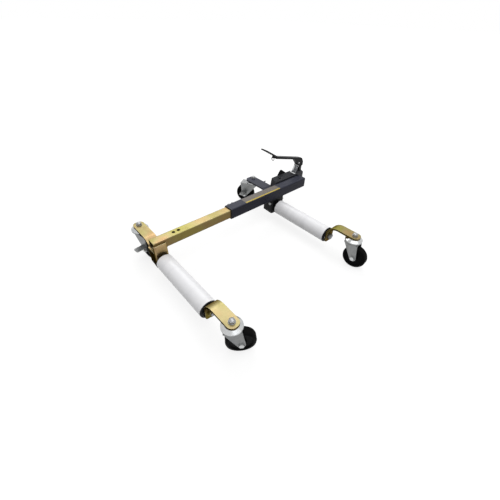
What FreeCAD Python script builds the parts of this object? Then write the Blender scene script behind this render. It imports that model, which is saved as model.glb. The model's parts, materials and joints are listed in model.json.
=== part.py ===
import FreeCAD, Part
import math
import os

# Vehicle positioning jack: two rollers on a telescoping frame that closes on a
# car's tyre when the foot pump draws the inner tube in, and lifts it on four casters.
# Millimetres. While building, X runs along the tubes from the inner tube's open end,
# Y points away from the rollers, and Z is up from the floor.

Vector = FreeCAD.Vector
AXIS_X = Vector(1, 0, 0)
AXIS_Y = Vector(0, 1, 0)
AXIS_Z = Vector(0, 0, 1)

# Telescoping tubes
tube_over_arm = 1.0
outer_tube_width = 50.0
outer_tube_wall = 4.0
outer_tube_corner = 6.0
inner_tube_wall = 3.0
inner_tube_corner = 5.0
inner_tube_reach = 368.0
closing_stroke = 200.0
bush_flange = 1.5
bush_wall = 0.9
bush_length = 40.0
slide_clearance = 0.1
guide_screw_spacing = 22.0
guide_screw_setback = 22.0
guide_screw_rise = 15.0

# Rollers and their axles
right_axis_setback = 294.5
roller_drop = 68.5
roller_radius = 35.0
roller_wall = 4.0
roller_length = 303.0
roller_cap_flange = 4.0
roller_cap_inset = 0.5
roller_cap_spigot = 16.0
roller_cap_chamfer = 1.0
roller_back_gap = 10.0
roller_front_gap = 4.0
bearing_radius = 23.5
bearing_width = 14.0
bearing_recess = 2.0
bearing_shield_margin = 4.0
bearing_shield_depth = 1.0
axle_radius = 10.0
axle_thread_radius = 8.0
axle_nut_flats = 24.0
axle_nut_height = 10.0
axle_thread_spare = 2.0
spacer_radius = 14.0
running_clearance = 0.05
face_clearance = 0.3

# Brackets and arms
plate_thickness = 6.0
bend_radius = 8.0
inner_bend_radius = 2.0
bracket_drop = 30.0
left_bracket_back_rise = 10.0
right_bracket_back_rise = 3.0
left_bracket_below_top = 12.0
right_bracket_width = 81.0
cross_bolt_radius = 4.0
cross_bolt_drop = 20.5
arm_width = 45.0
arm_thickness = 8.0
arm_nut_gap = 1.6
arm_leg_drop = 25.0
front_arm_reach = 119.0
left_rear_reach = 141.0
right_rear_reach = 157.5
right_rear_bolt_offset = 17.0
arm_tip = 23.0
arm_tip_radius = 20.0
arm_foot_radius = 10.0
peg_radius = 2.5
peg_length = 16.0
peg_setback = 60.0

# Casters
wheel_radius = 50.0
wheel_width = 32.0
wheel_shoulder = 7.0
wheel_recess = 4.0
wheel_rim = 12.0
hub_radius = 17.0
hub_proud = 2.0
hub_chamfer = 1.0
caster_trail = 26.0
brake_caster_trail = 43.0
fork_plate = 3.5
fork_side_gap = 1.0
fork_tip_radius = 14.0
fork_crown_half_length = 29.0
brake_crown_reach = 66.0
wheel_top_gap = 12.0
fork_dish_radius = 35.0
fork_dish_height = 8.0
fork_dish_flare = 5.0
fork_dish_rim = 3.0
race_radius = 35.0
race_top_radius = 24.0
race_height = 12.2
race_lip = 4.0
race_rim = 2.0
kingpin_radius = 6.0
kingpin_head_radius = 10.0
kingpin_head_height = 7.0
kingpin_washer_radius = 12.0
kingpin_washer = 2.0
kingpin_nut_flats = 19.0
kingpin_nut_height = 7.0
kingpin_dome_height = 4.0
wheel_axle_radius = 5.0
wheel_axle_flats = 16.0
wheel_axle_head = 6.0
brake_plate = 3.0
brake_boss_radius = 14.0
brake_tab_rise = 17.0
brake_tab_length = 42.0
brake_tab_width = 28.0
caster_headings = {"front_left": -34.0, "front_right": -84.0, "rear_left": -82.0, "rear_right": 118.0}
brake_sides = {"front_left": 0, "front_right": 0, "rear_left": -1, "rear_right": 1}

# Ram inside the tubes
ram_side_gap = 2.0
ram_wall = 3.0
ram_head_length = 30.0
end_plate_thickness = 8.0
ram_gland_length = 14.0
ram_gland_flange = 5.0
ram_start_gap = 12.0
rod_radius = 8.0
rod_engagement = 20.0
piston_length = 16.0
return_spring_gap = 0.8
return_spring_solid = 82.0
return_spring_wire = 3.0
anchor_position = 107.0
anchor_length = 66.0
anchor_hole_spacing = 22.0
anchor_hole_radius = 5.0
anchor_hole_depth = 12.0
anchor_fit = 0.2
anchor_screw_radius = 4.0
anchor_screw_flats = 13.0
anchor_screw_head = 5.5

# Foot pump on the back of the outer tube
pump_depth = 34.0
pump_start = 22.5
pump_length = 214.0
pump_overhang = 38.5
pump_arm_gap = 1.0
pump_corner = 3.0
pump_end_draft = 8.0
pump_front_fall = 2.1
pump_back_rise = 10.0
seat_setback = 62.0
seat_rise = 34.1
pump_screw_radius = 3.0
pump_screw_head_radius = 5.0
pump_screw_head = 6.0
pump_screw_rise = 11.0
pump_screw_inset = 15.0
pump_screw_pitch = 47.0
pump_screw_count = 3
filler_position = 48.0
filler_pocket_radius = 8.0
filler_pocket_depth = 4.0
filler_flats = 10.0
filler_height = 5.0
nipple_radius = 5.0
nipple_length = 16.0
nipple_rise = 9.0

# Fulcrum, plunger and its spring
pin_radius = 5.0
pin_head = 2.0
post_half_width = 9.0
post_thickness = 8.0
post_depth = 22.0
post_collar_gap = 3.0
plunger_lean = math.radians(25.0)
plunger_start = 13.0
plunger_radius = 6.0
plunger_collar_radius = 14.0
plunger_collar = 4.0
plunger_tail = 15.0
gland_seat_drop = 60.0
gland_boss_inset = 0.5
gland_pocket_breakout = 1.5
gland_collar_radius = 15.5
gland_collar = 5.0
gland_spigot_radius = 10.0
gland_spigot = 14.0
plunger_bore_spare = 4.0
spring_wire = 2.6
spring_mean_radius = 12.0
spring_end_turns = 1
spring_middle_turns = 5
spring_end_gap = 0.6

# Pedal
pedal_press = math.radians(20.0)
pedal_width = 18.0
pedal_depth = 11.0
pedal_skin = 3.0
pedal_arm_length = 168.0
pedal_arm_slope = math.radians(15.3)
pedal_root_x = -36.0
pedal_root_z = 36.3
pedal_crest_x = -22.0
pedal_brow_x = -2.0
pedal_brow_z = 31.0
pedal_heel = 10.5
pedal_heel_rise = 10.0
pedal_heel_drop = 12.0
pedal_heel_round = 7.0
pedal_chin_x = -58.0
pedal_chin_z = 33.0
pedal_throat_x = -62.0
press_pin_radius = 4.0
press_pin_x = -22.4
press_pin_z = 10.2
press_pin_proud = 1.5
nose_lead = math.radians(6.0)
side_clearance = 0.5
pad_slope = math.radians(31.5)
pad_length = 96.0
pad_width = 42.0
pad_plate = 4.0
pad_corner = 8.0
pad_neck = 8.0
tread_margin = 2.0
tread_thickness = 2.0
tread_rib = 1.0
tread_ribs = 7
ring_wire_radius = 1.5
ring_mean_radius = 8.0
ring_lug_radius = 6.0
ring_lug_thickness = 3.0
ring_lug_reach = 18.0
ring_lug_drop = 6.0
ring_hole_slack = 0.8

# Release lever on the back of the pump
release_position = 79.0
release_rise = 23.0
release_spindle_radius = 4.0
release_spindle_depth = 14.0
release_plate = 4.0
release_gap = 1.0
release_boss_radius = 12.0
release_tip_height = 44.0
release_tip_width = 9.0
release_left = 26.0
release_right = 33.0
release_shoulder = 20.0

# Places that follow from the sizes above
hub_width = wheel_width + 2 * hub_proud
fork_crown_height = 2 * wheel_radius + wheel_top_gap
crown_top = fork_crown_height + fork_plate
dish_top = crown_top + fork_dish_height
race_bottom = dish_top + face_clearance
arm_bottom_height = race_bottom + race_height
arm_top_height = arm_bottom_height + arm_thickness
tube_axis_height = arm_top_height + tube_over_arm
outer_half = outer_tube_width / 2
outer_bore_half = outer_half - outer_tube_wall
inner_half = outer_bore_half - bush_wall - slide_clearance
inner_bore_half = inner_half - inner_tube_wall
outer_bore_corner = outer_tube_corner - outer_tube_wall
inner_bore_corner = inner_tube_corner - inner_tube_wall
outer_bottom = tube_axis_height - outer_half
inner_bottom = tube_axis_height - inner_half
mouth_x = inner_tube_reach
left_axis_x = arm_width / 2
right_axis_x = mouth_x + right_axis_setback
pump_left_x = right_axis_x + pump_start
pump_right_x = pump_left_x + pump_length
outer_end_x = pump_right_x - pump_overhang
roller_axis_height = tube_axis_height - roller_drop
roller_back_y = -(outer_half + roller_back_gap)
roller_front_y = roller_back_y - roller_length
front_leg_y = roller_front_y - roller_front_gap
arm_bend_radius = arm_top_height - roller_axis_height - axle_nut_flats / math.sqrt(3) - arm_nut_gap
leg_bottom = roller_axis_height - arm_leg_drop
bracket_bottom = roller_axis_height - bracket_drop
ram_radius = inner_bore_half - ram_side_gap
ram_bore = ram_radius - ram_wall
return_spring_radius = ram_bore - return_spring_gap
ram_end_x = outer_end_x - end_plate_thickness
head_start_x = ram_end_x - ram_head_length
piston_x = head_start_x - return_spring_solid - closing_stroke - piston_length
ram_start_x = piston_x - ram_gland_length - face_clearance
inner_tube_end_x = ram_start_x - ram_start_gap
anchor_end_x = anchor_position + anchor_length - anchor_hole_spacing
pump_front_y = outer_half
pump_back_y = outer_half + pump_depth
pump_mid_y = outer_half + pump_depth / 2
gland_boss_radius = pump_depth / 2 - gland_boss_inset
gland_pocket_radius = pump_depth / 2 + gland_pocket_breakout
pump_bottom = arm_top_height + pump_arm_gap
plunger_up = Vector(math.sin(plunger_lean), 0, math.cos(plunger_lean))
plunger_across = Vector(math.cos(plunger_lean), 0, -math.sin(plunger_lean))
plunger_offset = post_half_width + plunger_collar_radius + post_collar_gap
plunger_travel = plunger_offset * pedal_press
gland_seat = Vector(pump_right_x - seat_setback, pump_mid_y, pump_bottom + seat_rise)
plunger_root = gland_seat + plunger_up * gland_seat_drop
pin = plunger_root + plunger_across * plunger_offset
pump_front_height = gland_seat.z - pump_front_fall
pump_back_height = gland_seat.z + pump_back_rise
pump_middle_height = (pump_front_height + pump_back_height) / 2
solids = {}


def box(x_low, x_high, y_low, y_high, z_low, z_high):
    corner = Vector(x_low, y_low, z_low)
    return Part.makeBox(x_high - x_low, y_high - y_low, z_high - z_low, corner)


def rod(radius, start, end):
    """Round bar between two points."""
    return Part.makeCylinder(radius, (end - start).Length, start, end - start)


def fit(radius):
    """Bore that a round piece of this radius runs in."""
    return radius + running_clearance


def washer(radius, bore, start, end):
    return rod(radius, start, end).cut(rod(bore, start, end))


def hexagon(flats, start, end):
    """Hexagonal bar between two points, sized across its flats."""
    height = end - start
    side = AXIS_Z if abs(height.z) < 0.5 * height.Length else AXIS_X
    first = (side - height * (side.dot(height) / height.dot(height))).normalize()
    second = height.cross(first).normalize()
    reach = flats / math.sqrt(3)
    turns = [math.radians(60 * index + 30) for index in range(6)]
    points = [start + first * (reach * math.cos(turn)) + second * (reach * math.sin(turn)) for turn in turns]
    return Part.Face(Part.makePolygon(points + points[:1])).extrude(height)


def rounded_wire(corners):
    """Closed wire through corner points, each with the radius that rounds it."""
    spans = []
    for index, (point, radius) in enumerate(corners):
        before = (corners[index - 1][0] - point).normalize()
        after = (corners[(index + 1) % len(corners)][0] - point).normalize()
        half = before.getAngle(after) / 2
        middle = (before + after).normalize() if radius else before
        setback = radius / math.tan(half)
        crown = point + middle * (radius / math.sin(half) - radius)
        spans.append((point + before * setback, crown, point + after * setback))
    edges = []
    for index, (first, crown, last) in enumerate(spans):
        if (last - first).Length > 1e-6:
            edges.append(Part.Arc(first, crown, last).toShape())
        following = spans[(index + 1) % len(spans)][0]
        if (following - last).Length > 1e-6:
            edges.append(Part.makeLine(last, following))
    return Part.Wire(edges)


def plate(corners, thickness):
    return Part.Face(rounded_wire(corners)).extrude(thickness)


def square_bar(half, corner, x_low, x_high):
    """Square bar along the tubes' axis with rounded corners."""
    places = [(-half, -half), (half, -half), (half, half), (-half, half)]
    corners = [(Vector(x_low, y, tube_axis_height + z), corner) for y, z in places]
    return plate(corners, AXIS_X * (x_high - x_low))


def round_edges(solid, radius, chosen):
    """Fillet the edges that pass the test on their middle point and direction."""
    edges = []
    for edge in solid.Edges:
        middle = edge.valueAt((edge.FirstParameter + edge.LastParameter) / 2)
        direction = edge.tangentAt(edge.FirstParameter)
        if chosen(middle, direction):
            edges.append(edge)
    return solid.makeFillet(radius, edges)


def turned(profile, base, axis):
    """Solid of revolution from (distance along the axis, radius) points, on a placed axis."""
    points = [Vector(radius, 0, along) for along, radius in profile]
    face = Part.Face(Part.makePolygon(points + points[:1]))
    solid = face.revolve(Vector(0, 0, 0), AXIS_Z, 360)
    solid.Placement = FreeCAD.Placement(base, FreeCAD.Rotation(AXIS_Z, axis))
    return solid


# Outer and inner tubes

anchor_holes_x = [anchor_position - anchor_hole_spacing / 2, anchor_position + anchor_hole_spacing / 2]
tube_top = tube_axis_height + inner_half
inner_tube = square_bar(inner_half, inner_tube_corner, 0, inner_tube_end_x)
inner_tube = inner_tube.cut(square_bar(inner_bore_half, inner_bore_corner, 0, inner_tube_end_x))
for x in anchor_holes_x:
    top_hole = rod(anchor_hole_radius, Vector(x, 0, tube_axis_height), Vector(x, 0, tube_top + 1))
    bolt_hole = rod(anchor_screw_radius + face_clearance, Vector(x, 0, tube_axis_height),
                    Vector(x, 0, inner_bottom - 1))
    inner_tube = inner_tube.cut(top_hole).cut(bolt_hole)
solids["inner_tube"] = [inner_tube]

guide_screws_x = [mouth_x + guide_screw_setback + index * guide_screw_spacing for index in range(2)]
guide_screw_z = tube_axis_height + guide_screw_rise
guide_screw_places = [Vector(x, outer_half, guide_screw_z) for x in guide_screws_x]
pump_first_x = pump_left_x + pump_screw_inset
pump_screws_x = [pump_first_x + index * pump_screw_pitch for index in range(pump_screw_count)]
pump_screw_places = [Vector(x, pump_back_y, pump_bottom + pump_screw_rise) for x in pump_screws_x]
nipple_x = ram_end_x - ram_head_length / 2
nipple_z = pump_bottom + nipple_rise

outer_tube = square_bar(outer_half, outer_tube_corner, mouth_x, outer_end_x)
outer_tube = outer_tube.cut(square_bar(outer_bore_half, outer_bore_corner, mouth_x, outer_end_x))
wall_holes = [(place, anchor_screw_radius) for place in guide_screw_places]
wall_holes += [(place, pump_screw_radius) for place in pump_screw_places]
wall_holes += [(Vector(nipple_x, outer_half, nipple_z), nipple_radius)]
for place, radius in wall_holes:
    inside = Vector(place.x, outer_bore_half - 1, place.z)
    outer_tube = outer_tube.cut(rod(fit(radius), inside, Vector(place.x, outer_half + 1, place.z)))
solids["outer_tube"] = [outer_tube]

# Nylon collar that guides the inner tube, and the two screws that press it

bush_hole = inner_half + slide_clearance
bush_corner = inner_tube_corner + slide_clearance
bush = square_bar(outer_half, outer_tube_corner, mouth_x - bush_flange, mouth_x)
bush = bush.fuse(square_bar(outer_bore_half, outer_bore_corner, mouth_x, mouth_x + bush_length))
bush = bush.cut(square_bar(bush_hole, bush_corner, mouth_x - bush_flange, mouth_x + bush_length))
solids["guide_bush"] = [bush.removeSplitter()]

tube_screws = []
for place in guide_screw_places:
    shank = rod(anchor_screw_radius, Vector(place.x, outer_bore_half, place.z), place)
    head = hexagon(anchor_screw_flats, place, place + AXIS_Y * anchor_screw_head)
    tube_screws.append(shank.fuse(head).removeSplitter())

# Brackets: channels bent from plate, open at the back, with the bottom edge cut on a slope


def channel(x_low, x_high, y_front, y_back, z_low, z_high, back_rise):
    inside = [(x_high - plate_thickness, y_back), (x_high - plate_thickness, y_front + plate_thickness)]
    inside += [(x_low + plate_thickness, y_front + plate_thickness), (x_low + plate_thickness, y_back)]
    places = [(x_low, y_back), (x_low, y_front), (x_high, y_front), (x_high, y_back)] + inside
    radii = [0, bend_radius, bend_radius, 0, 0, inner_bend_radius, inner_bend_radius, 0]
    corners = [(Vector(x, y, z_low), radius) for (x, y), radius in zip(places, radii)]
    body = plate(corners, AXIS_Z * (z_high - z_low))
    slope = [Vector(x_low - 1, y_front, z_low), Vector(x_low - 1, y_back + 1, z_low)]
    slope.append(Vector(x_low - 1, y_back + 1, z_low + back_rise))
    wedge = Part.Face(Part.makePolygon(slope + slope[:1])).extrude(AXIS_X * (x_high - x_low + 2))
    return body.cut(wedge)


def axle_hole(x, radius, y_low, y_high):
    return rod(radius, Vector(x, y_low, roller_axis_height), Vector(x, y_high, roller_axis_height))


left_plate_y = -(inner_half + plate_thickness)
left_back_y = inner_half + arm_thickness
left_bracket_top = tube_axis_height + inner_half - left_bracket_below_top
left_bracket = channel(-plate_thickness, arm_width + plate_thickness, left_plate_y, left_back_y,
                       bracket_bottom, left_bracket_top, left_bracket_back_rise)
above_flanges = box(-plate_thickness, arm_width + plate_thickness, -inner_half, left_back_y,
                    inner_bottom, left_bracket_top)
left_bracket = left_bracket.cut(above_flanges)
plate_hole = axle_hole(left_axis_x, fit(axle_radius), left_plate_y - 1, -inner_half + 1)
left_bracket = left_bracket.cut(plate_hole)
solids["left_bracket"] = [left_bracket]

right_bracket_low_x = right_axis_x - right_bracket_width / 2
right_bracket_high_x = right_axis_x + right_bracket_width / 2
right_back_y = outer_half + arm_thickness
cross_bolt_z = outer_bottom - cross_bolt_drop
cross_bolt_y = -outer_half / 2
right_bracket = channel(right_bracket_low_x, right_bracket_high_x, -outer_half, right_back_y,
                        bracket_bottom, outer_bottom, right_bracket_back_rise)
plate_hole = axle_hole(right_axis_x, fit(axle_radius), -outer_half - 1, -outer_half + plate_thickness + 1)
cross_hole = rod(fit(cross_bolt_radius), Vector(right_bracket_low_x - 1, cross_bolt_y, cross_bolt_z),
                 Vector(right_bracket_high_x + 1, cross_bolt_y, cross_bolt_z))
solids["right_bracket"] = [right_bracket.cut(plate_hole).cut(cross_hole)]

# Arms: flat bars bent to a J, one leg on the axle and the other over the caster


def bent_arm(axis_x, low_x, high_x, bolt, leg_y, side):
    """side is the way that the arm points along Y, and leg_y is the leg's face towards the roller."""
    tip = abs(bolt.y - leg_y) + arm_tip
    inner_radius = arm_bend_radius - arm_thickness
    places = [(0, leg_bottom, 0), (0, arm_top_height, arm_bend_radius), (tip, arm_top_height, 0)]
    places += [(tip, arm_bottom_height, 0), (arm_thickness, arm_bottom_height, inner_radius)]
    places += [(arm_thickness, leg_bottom, 0)]
    corners = [(Vector(low_x, leg_y + side * out, z), radius) for out, z, radius in places]
    bar = plate(corners, AXIS_X * (high_x - low_x))
    tip_y = leg_y + side * tip
    bar = round_edges(bar, min(arm_tip_radius, 0.48 * arm_width), lambda middle, direction:
                      abs(middle.y - tip_y) < 0.01 and abs(direction.z) > 0.99)
    bar = round_edges(bar, min(arm_foot_radius, 0.48 * arm_width), lambda middle, direction:
                      abs(middle.z - leg_bottom) < 0.01 and abs(direction.y) > 0.99)
    bolt_hole = rod(fit(kingpin_radius), bolt + AXIS_Z * (arm_bottom_height - 1),
                    bolt + AXIS_Z * (arm_top_height + 1))
    thread_hole = axle_hole(axis_x, fit(axle_thread_radius), leg_y - side, leg_y + side * (arm_thickness + 1))
    return bar.cut(bolt_hole).cut(thread_hole)


# The arm beside the pump is wider: it fills its bracket up to the right flange, to which it is welded
left_edges = (left_axis_x - arm_width / 2, left_axis_x + arm_width / 2)
right_edges = (right_axis_x - arm_width / 2, right_axis_x + arm_width / 2)
wide_edges = (right_edges[0], right_bracket_high_x - plate_thickness)
bolt_places = {
    "front_left": Vector(left_axis_x, front_leg_y - front_arm_reach, 0),
    "front_right": Vector(right_axis_x, front_leg_y - front_arm_reach, 0),
    "rear_left": Vector(left_axis_x, inner_half + left_rear_reach, 0),
    "rear_right": Vector(right_axis_x + right_rear_bolt_offset, outer_half + right_rear_reach, 0)}
arms = [("left_front_arm", "front_left", left_axis_x, left_edges, front_leg_y, -1),
        ("right_front_arm", "front_right", right_axis_x, right_edges, front_leg_y, -1),
        ("left_rear_arm", "rear_left", left_axis_x, left_edges, inner_half, 1),
        ("right_rear_arm", "rear_right", right_axis_x, wide_edges, outer_half, 1)]
for name, corner, axis_x, (low_x, high_x), leg_y, side in arms:
    solids[name] = [bent_arm(axis_x, low_x, high_x, bolt_places[corner], leg_y, side)]

peg_y = bolt_places["rear_right"].y - peg_setback
peg_foot = Vector(wide_edges[1], peg_y, arm_top_height - arm_thickness / 2)
solids["stow_peg"] = [rod(peg_radius, peg_foot, peg_foot + AXIS_X * peg_length)]

# Axles, with their nuts and spacers


def stepped_axle(axis_x, back_leg_y):
    body = axle_hole(axis_x, axle_radius, front_leg_y, back_leg_y)
    thread = arm_thickness + axle_nut_height + axle_thread_spare
    ends = axle_hole(axis_x, axle_thread_radius, front_leg_y - thread, back_leg_y + thread)
    return body.fuse(ends).removeSplitter()


def axle_hardware(axis_x, back_leg_y, plate_face_y):
    pieces = []
    for leg_y, side in ((front_leg_y, -1), (back_leg_y, 1)):
        face = Vector(axis_x, leg_y + side * arm_thickness, roller_axis_height)
        end = face + AXIS_Y * (side * axle_nut_height)
        nut = hexagon(axle_nut_flats, face, end)
        pieces.append(nut.cut(rod(fit(axle_thread_radius), face, end)))
    bore = fit(axle_radius)
    back_face = roller_back_y - bearing_recess + face_clearance
    front_face = roller_front_y + bearing_recess - face_clearance
    for start_y, end_y in ((plate_face_y, back_face), (front_leg_y, front_face)):
        start = Vector(axis_x, start_y, roller_axis_height)
        pieces.append(washer(spacer_radius, bore, start, Vector(axis_x, end_y, roller_axis_height)))
    return pieces


solids["left_axle"] = [stepped_axle(left_axis_x, inner_half)]
solids["left_axle_hardware"] = axle_hardware(left_axis_x, inner_half, left_plate_y)
solids["right_axle"] = [stepped_axle(right_axis_x, outer_half)]
bolt_start = Vector(right_bracket_low_x, cross_bolt_y, cross_bolt_z)
bolt_end = Vector(right_bracket_high_x, cross_bolt_y, cross_bolt_z)
bolt_head = hexagon(anchor_screw_flats, bolt_start - AXIS_X * anchor_screw_head, bolt_start)
cross_bolt = bolt_head.fuse(rod(cross_bolt_radius, bolt_start, bolt_end + AXIS_X * anchor_screw_head))
cross_nut = hexagon(anchor_screw_flats, bolt_end, bolt_end + AXIS_X * anchor_screw_head)
cross_nut = cross_nut.cut(rod(fit(cross_bolt_radius), bolt_end, bolt_end + AXIS_X * anchor_screw_head))
right_hardware = axle_hardware(right_axis_x, outer_half, -outer_half)
solids["right_axle_hardware"] = right_hardware + [cross_bolt.removeSplitter(), cross_nut]

# Rollers: a steel sleeve with a plastic cap and a ball bearing in each end


def roller(name, axis_x):
    bore = roller_radius - roller_wall
    sleeve_back = Vector(axis_x, roller_back_y - roller_cap_flange, roller_axis_height)
    sleeve_front = Vector(axis_x, roller_front_y + roller_cap_flange, roller_axis_height)
    solids[name + "_sleeve"] = [washer(roller_radius, bore, sleeve_front, sleeve_back)]
    caps = []
    bearings = []
    pocket = fit(bearing_radius)
    spigot = bore - running_clearance
    cap_radius = roller_radius - roller_cap_inset
    depth = bearing_recess + bearing_width
    length = roller_cap_flange + roller_cap_spigot
    clear = axle_radius + roller_wall
    chamfer = roller_cap_chamfer
    profile = [(0, pocket), (0, cap_radius - chamfer), (chamfer, cap_radius), (roller_cap_flange, cap_radius)]
    profile += [(roller_cap_flange, spigot), (length, spigot), (length, clear)]
    profile += [(depth, clear), (depth, pocket)]
    bearing_bore = fit(axle_radius)
    shield_low = axle_radius + bearing_shield_margin
    shield_high = bearing_radius - bearing_shield_margin
    shield = bearing_shield_depth
    far = depth - bearing_recess
    ring = [(0, bearing_bore), (0, shield_low), (shield, shield_low), (shield, shield_high), (0, shield_high)]
    ring += [(0, bearing_radius), (far, bearing_radius), (far, bearing_bore)]
    for end_y, inward in ((roller_back_y, -1), (roller_front_y, 1)):
        end = Vector(axis_x, end_y, roller_axis_height)
        caps.append(turned(profile, end, AXIS_Y * inward))
        bearings.append(turned(ring, end + AXIS_Y * (inward * bearing_recess), AXIS_Y * inward))
    solids[name + "_end_caps"] = caps
    solids[name + "_bearings"] = bearings


roller("left_roller", left_axis_x)
roller("right_roller", right_axis_x)

# Casters, each made over the origin with its wheel trailing along X, then turned and placed

leg_inner = hub_width / 2 + fork_side_gap
leg_outer = leg_inner + fork_plate


def tangent_from(point, centre, radius, turn):
    """Where a line from a point touches a circle, in the XZ plane."""
    away = point - centre
    lean = math.acos(radius / away.Length) * turn
    rotated = Vector(away.x * math.cos(lean) - away.z * math.sin(lean), 0,
                     away.x * math.sin(lean) + away.z * math.cos(lean))
    return centre + rotated.normalize() * radius


def caster_fork(wheel_centre, crown_reach):
    """crown_reach is how far the crown runs out over the wheel."""
    back = Vector(-fork_crown_half_length, 0, crown_top)
    front = Vector(crown_reach, 0, crown_top)
    first = tangent_from(back, wheel_centre, fork_tip_radius, 1)
    last = tangent_from(front, wheel_centre, fork_tip_radius, -1)
    low = wheel_centre - AXIS_Z * fork_tip_radius
    edges = [Part.makeLine(front, back), Part.makeLine(back, first)]
    edges += [Part.Arc(first, low, last).toShape(), Part.makeLine(last, front)]
    leg = Part.Face(Part.Wire(edges)).extrude(AXIS_Y * fork_plate)
    beyond = AXIS_Y * (leg_outer + 1)
    axle = rod(fit(wheel_axle_radius), wheel_centre - beyond, wheel_centre + beyond)
    crown = box(back.x, front.x, -leg_outer, leg_outer, fork_crown_height, crown_top)
    body = crown.fuse(leg.translated(AXIS_Y * leg_inner)).fuse(leg.translated(AXIS_Y * -leg_outer))
    dish = [(crown_top, 0), (crown_top, fork_dish_radius - fork_dish_flare)]
    dish += [(dish_top - fork_dish_rim, fork_dish_radius), (dish_top, fork_dish_radius), (dish_top, 0)]
    body = body.fuse(turned(dish, Vector(0, 0, 0), AXIS_Z))
    pin_hole = rod(kingpin_radius + face_clearance, AXIS_Z * (fork_crown_height - 1), AXIS_Z * (dish_top + 1))
    return body.cut(pin_hole).cut(axle).removeSplitter()


def caster_wheel(wheel_centre):
    half = wheel_width / 2
    bore = fit(wheel_axle_radius)
    rim = wheel_radius - wheel_rim
    web = half - wheel_recess
    hub = hub_width / 2
    chamfer = hub_chamfer
    side = [(hub, bore), (hub, hub_radius - chamfer), (hub - chamfer, hub_radius)]
    side += [(web, hub_radius + chamfer), (web, rim - 2 * chamfer), (half, rim + chamfer)]
    side += [(half, wheel_radius - wheel_shoulder)]
    side += [(half - wheel_shoulder / 4, wheel_radius - wheel_shoulder / 3)]
    side += [(half - wheel_shoulder, wheel_radius)]
    profile = side + [(-along, radius) for along, radius in reversed(side)]
    return turned(profile, wheel_centre, AXIS_Y)


def caster_axle(wheel_centre, brake_side):
    """Axle bolt and nut: on a braked caster the brake lever sits under the nut."""
    stack = brake_plate + 2 * face_clearance if brake_side else 0
    side = brake_side or 1
    head_face = wheel_centre - AXIS_Y * (side * leg_outer)
    nut_face = wheel_centre + AXIS_Y * (side * (leg_outer + stack))
    outward = AXIS_Y * (side * wheel_axle_head)
    bolt = hexagon(wheel_axle_flats, head_face - outward, head_face)
    bolt = bolt.fuse(rod(wheel_axle_radius, head_face, nut_face + outward)).removeSplitter()
    nut = hexagon(wheel_axle_flats, nut_face, nut_face + outward)
    nut = nut.cut(rod(fit(wheel_axle_radius), nut_face, nut_face + outward))
    return [bolt, nut]


def brake_lever(wheel_centre, brake_side):
    """Plate that turns on the axle outside the fork, with a foot tab bent outwards."""
    low = leg_outer + face_clearance
    boss = brake_boss_radius
    half_tab = brake_tab_width / 2
    tab_top = wheel_radius + brake_tab_rise
    tip_left = Vector(wheel_centre.x - half_tab, 0, tab_top)
    tip_right = Vector(wheel_centre.x + half_tab, 0, tab_top)
    first = tangent_from(tip_left, wheel_centre, boss, 1)
    last = tangent_from(tip_right, wheel_centre, boss, -1)
    edges = [Part.makeLine(tip_right, tip_left), Part.makeLine(tip_left, first)]
    edges += [Part.Arc(first, wheel_centre - AXIS_Z * boss, last).toShape(), Part.makeLine(last, tip_right)]
    web = Part.Face(Part.Wire(edges)).extrude(AXIS_Y * brake_plate).translated(AXIS_Y * low)
    tab = box(tip_left.x, tip_right.x, low, low + brake_tab_length, tab_top - brake_plate, tab_top)
    end_y = low + brake_tab_length
    tab = round_edges(tab, brake_tab_width / 4, lambda middle, direction:
                      abs(middle.y - end_y) < 0.01 and abs(direction.z) > 0.99)
    hole = rod(fit(wheel_axle_radius), wheel_centre, wheel_centre + AXIS_Y * (low + brake_plate + 1))
    lever = web.fuse(tab).cut(hole).removeSplitter()
    if brake_side < 0:
        lever = lever.mirror(Vector(0, 0, 0), AXIS_Y)
    return lever


def raceway():
    lip = race_bottom + race_lip
    profile = [(race_bottom, fit(kingpin_radius)), (race_bottom, race_radius), (lip, race_radius)]
    profile += [(arm_bottom_height - race_rim, race_top_radius), (arm_bottom_height, race_top_radius)]
    profile += [(arm_bottom_height, fit(kingpin_radius))]
    return turned(profile, Vector(0, 0, 0), AXIS_Z)


def kingpin():
    head_top = fork_crown_height - face_clearance
    washer_top = arm_top_height + kingpin_washer
    nut_top = washer_top + kingpin_nut_height
    head_bottom = head_top - kingpin_head_height
    bolt = rod(kingpin_head_radius, Vector(0, 0, head_bottom), Vector(0, 0, head_top))
    bolt = bolt.fuse(rod(kingpin_radius, Vector(0, 0, head_top), Vector(0, 0, nut_top))).removeSplitter()
    bore = fit(kingpin_radius)
    disc = washer(kingpin_washer_radius, bore, Vector(0, 0, arm_top_height), Vector(0, 0, washer_top))
    nut = hexagon(kingpin_nut_flats, Vector(0, 0, washer_top), Vector(0, 0, nut_top))
    nut = nut.cut(rod(bore, Vector(0, 0, washer_top), Vector(0, 0, nut_top)))
    dome = kingpin_nut_flats / 2
    cap = [(nut_top, 0), (nut_top, dome), (nut_top + kingpin_dome_height * 0.6, dome * 0.75)]
    cap += [(nut_top + kingpin_dome_height, dome * 0.35), (nut_top + kingpin_dome_height, 0)]
    nut = nut.fuse(turned(cap, Vector(0, 0, 0), AXIS_Z)).removeSplitter()
    return [bolt, disc, nut]


def placed(solid, place, heading):
    moved = solid.copy()
    moved.rotate(Vector(0, 0, 0), AXIS_Z, heading)
    moved.translate(place)
    return moved


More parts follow.
